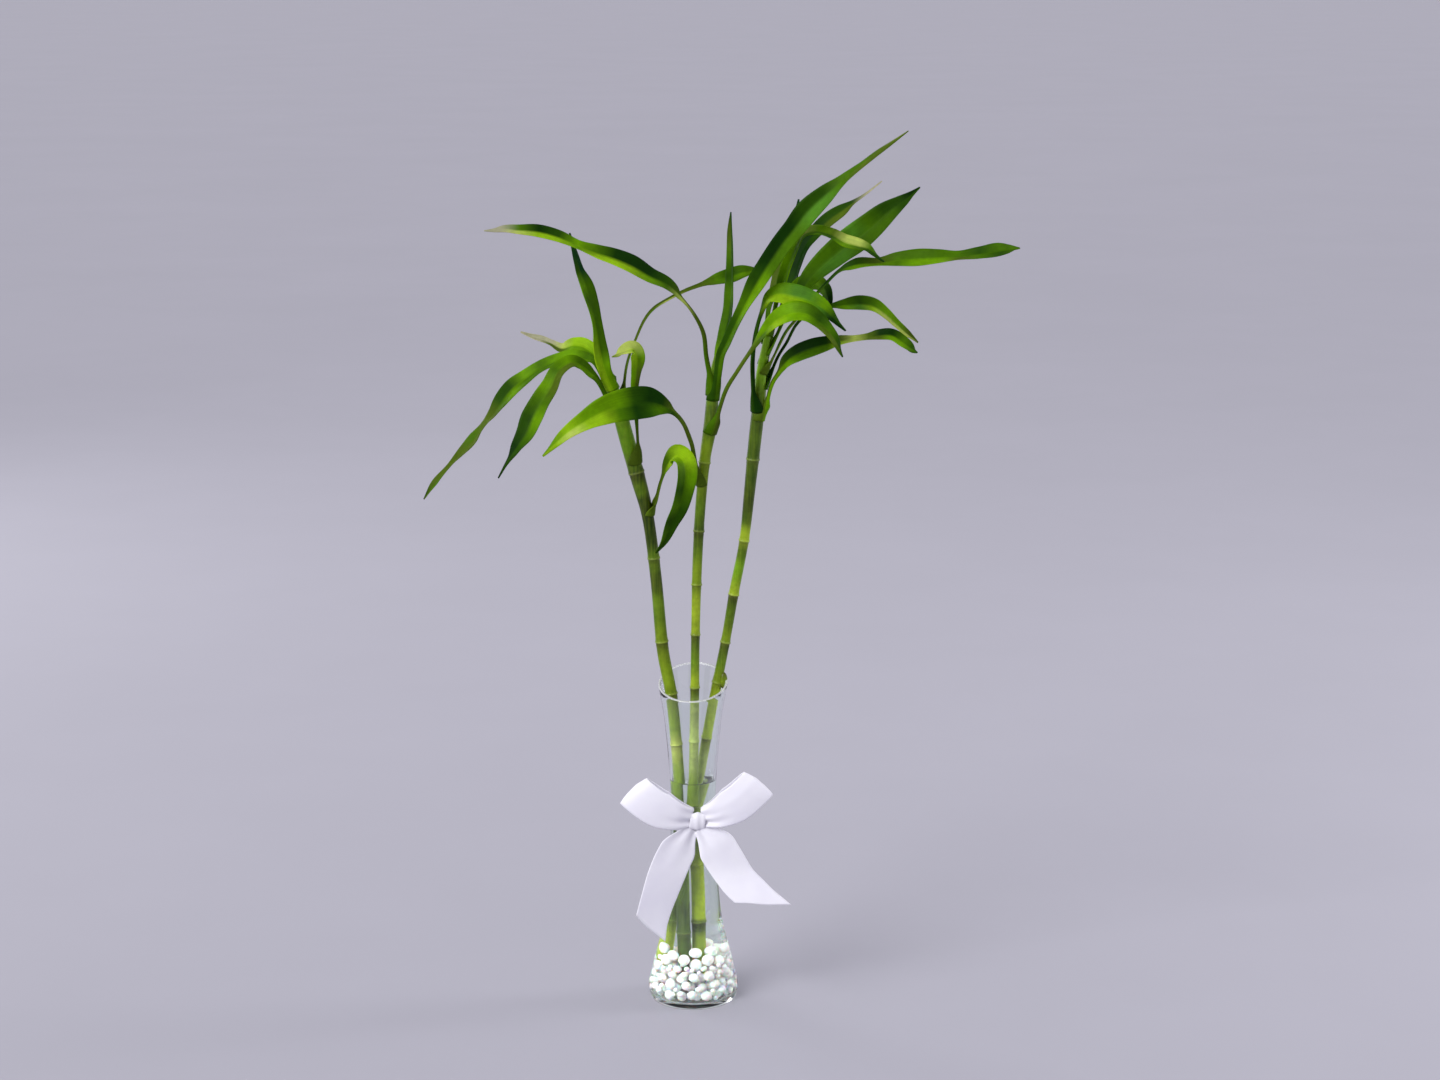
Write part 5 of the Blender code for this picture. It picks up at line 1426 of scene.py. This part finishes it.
loopShape = dict(
    tuck=0.0020,  # how far a loop goes into the knot
    width=0.0235,
    rootWidth=0.0130,
    sag=0.0038,
    skew=0.0012,
    pleat=0.0010,
    pleats=8.0,
    opens=1.5,  # how soon the gathered root opens out
    gathers=1.3,
    crease=0.0011,
    creaseWidth=0.22,
    creaseFades=0.75,
    cup=-0.0016,
    rows=72,
    thin=0.5,
    # share of the loop's length, and how far in front of the knot's middle it lies
    section=[
        (0.00, 0.0002),
        (0.25, 0.0048),
        (0.60, 0.0066),
        (0.88, 0.0056),
        (1.00, 0.0016),
        (0.90, -0.0022),
        (0.60, -0.0030),
        (0.25, -0.0020),
        (0.00, -0.0010),
    ],
)
loops = {
    "ribbon_loop_left": dict(reach=(-0.0415, 0.0215), root=0.0062, phase=0.4, creaseAt=-0.35, skew=1),
    "ribbon_loop_right": dict(reach=(0.0395, 0.0265), root=0.0066, phase=1.1, creaseAt=0.30, skew=-1),
}


def makeLoop(node, loop):
    out = Vector((loop["reach"][0], 0, loop["reach"][1]))
    span = out * (1 - (loop["root"] - loopShape["tuck"]) / out.length)
    root = Vector(knot["centre"]) + out - span
    sag, rows = loopShape["sag"], loopShape["rows"]
    route = []
    for share, depth in loopShape["section"]:
        route.append(root + span * share - up * sag * math.sin(math.pi * share) + front * depth)
    places = evenPlaces(route, rows)
    whole = lengthOf(route, places)

    def pointAt(side, share):
        place = between(places, share * rows)
        outward = 1 - abs(2 * share - 1)
        ahead = (span - up * math.pi * sag * math.cos(math.pi * outward)).normalized()
        across = front.cross(ahead)
        face = alongAt(route, place).cross(across).normalized()
        middle = math.sin(math.pi * share)
        spread = min(middle * loopShape["opens"], 1)
        wide = loopShape["rootWidth"] + (loopShape["width"] - loopShape["rootWidth"]) * spread
        pleats = math.cos(side * loopShape["pleats"] + loop["phase"])
        lift = pleats * loopShape["pleat"] * (1 - spread) ** loopShape["gathers"]
        crease = bell(side - loop["creaseAt"], loopShape["creaseWidth"])
        lift += loopShape["crease"] * crease * (1 - spread * loopShape["creaseFades"])
        lift += loopShape["cup"] * side**2 * spread
        shift = ahead * loopShape["skew"] * side * middle * loop["skew"]
        return onCurve(route, place) + across * side * wide / 2 + face * lift + shift

    piece = layStrip(node, rows, ribbon["cols"], whole, pointAt, loopShape["thin"])


tailShape = dict(
    rows=48,
    thin=0.5,
    rootWidth=0.011,
    spread=4.5,  # how soon the gathered root opens out
    wave=0.0012,
    waves=7.5,
    waveTilt=0.8,
    pleat=0.0005,
    pleats=6.0,
    pleatEnds=2.2,  # how soon the pleats fade
)
# each route runs down from the knot, the face turns by so many degrees, and the end is cut aslant
tails = {
    "ribbon_tail_left": dict(
        route=[
            (-1.2, -18.8, 118.6), (-8.2, -20.5, 107.5), (-13, -22, 98.5), (-16.8, -23.5, 88.5),
            (-20.2, -24.6, 77.8), (-24, -25.6, 66.8), (-27.2, -26.4, 56.5), (-28.9, -27, 46.6),
        ],
        turn=(15, 28),
        slant=-0.20,
        phase=0.3,
    ),
    "ribbon_tail_right": dict(
        route=[
            (5, -18.8, 119.2), (13.5, -21.5, 109.5), (18.5, -22.6, 101.8), (24, -23.8, 93.5),
            (29.9, -25, 85.2), (37.5, -26, 77.6), (45.1, -26.8, 69.9), (55.9, -27.5, 60.8),
        ],
        turn=(15, 42),
        slant=-0.38,
        phase=1.6,
    ),
}


def makeTail(node, tail):
    route, slant, phase = inMetres(tail["route"], 3), tail["slant"], tail["phase"]
    rows, narrow = tailShape["rows"], tailShape["rootWidth"]
    places = evenPlaces(route, rows)
    whole = lengthOf(route, places)
    first, last = tail["turn"]

    def pointAt(side, share):
        reach = share * (1 - abs(slant) / 2 + slant * side / 2)
        place = between(places, reach * rows)
        along = alongAt(route, place)
        face = faceAt(along, first + (last - first) * smooth(reach), 1)
        wide = narrow + (ribbon["width"] - narrow) * smooth(reach * tailShape["spread"])
        fading = 1 - smooth(reach * tailShape["pleatEnds"])
        lift = math.cos(side * tailShape["pleats"] + phase) * tailShape["pleat"] * fading
        wave = math.sin(reach * tailShape["waves"] + phase + side * tailShape["waveTilt"])
        lift += tailShape["wave"] * wave * smooth(reach * 2)
        return onCurve(route, place) + along.cross(face) * side * wide / 2 + face * lift

    piece = layStrip(node, rows, ribbon["cols"], whole, pointAt, tailShape["thin"])


print("setting up camera, lights and floor")
makeStudio()
makeFloor()

print("blowing the vase and filling it")
makeVase()
makeWater()
makePebbles()

print("growing the canes")
skin = greenCane()
for side in stalks:
    makeStalk(side, skin)

print("growing the leaves")
veins = veinGroup()
upper = leafMaterial("leafUpper", *leafLook["upper"])
under = leafMaterial("leafUnderside", *leafLook["under"])
leafRng = random.Random(leafShape["seed"])
for node, leaf in leaves.items():
    makeLeaf(node, leaf, [upper, under], leafRng)

print("tying the bow")
weave = weaveGroup()
makeBand()
makeKnot()
for node, loop in loops.items():
    makeLoop(node, loop)
for node, tail in tails.items():
    makeTail(node, tail)

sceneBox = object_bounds()
[[list(corner) for corner in box] for box in (cadBox, sceneBox)]
print("done")
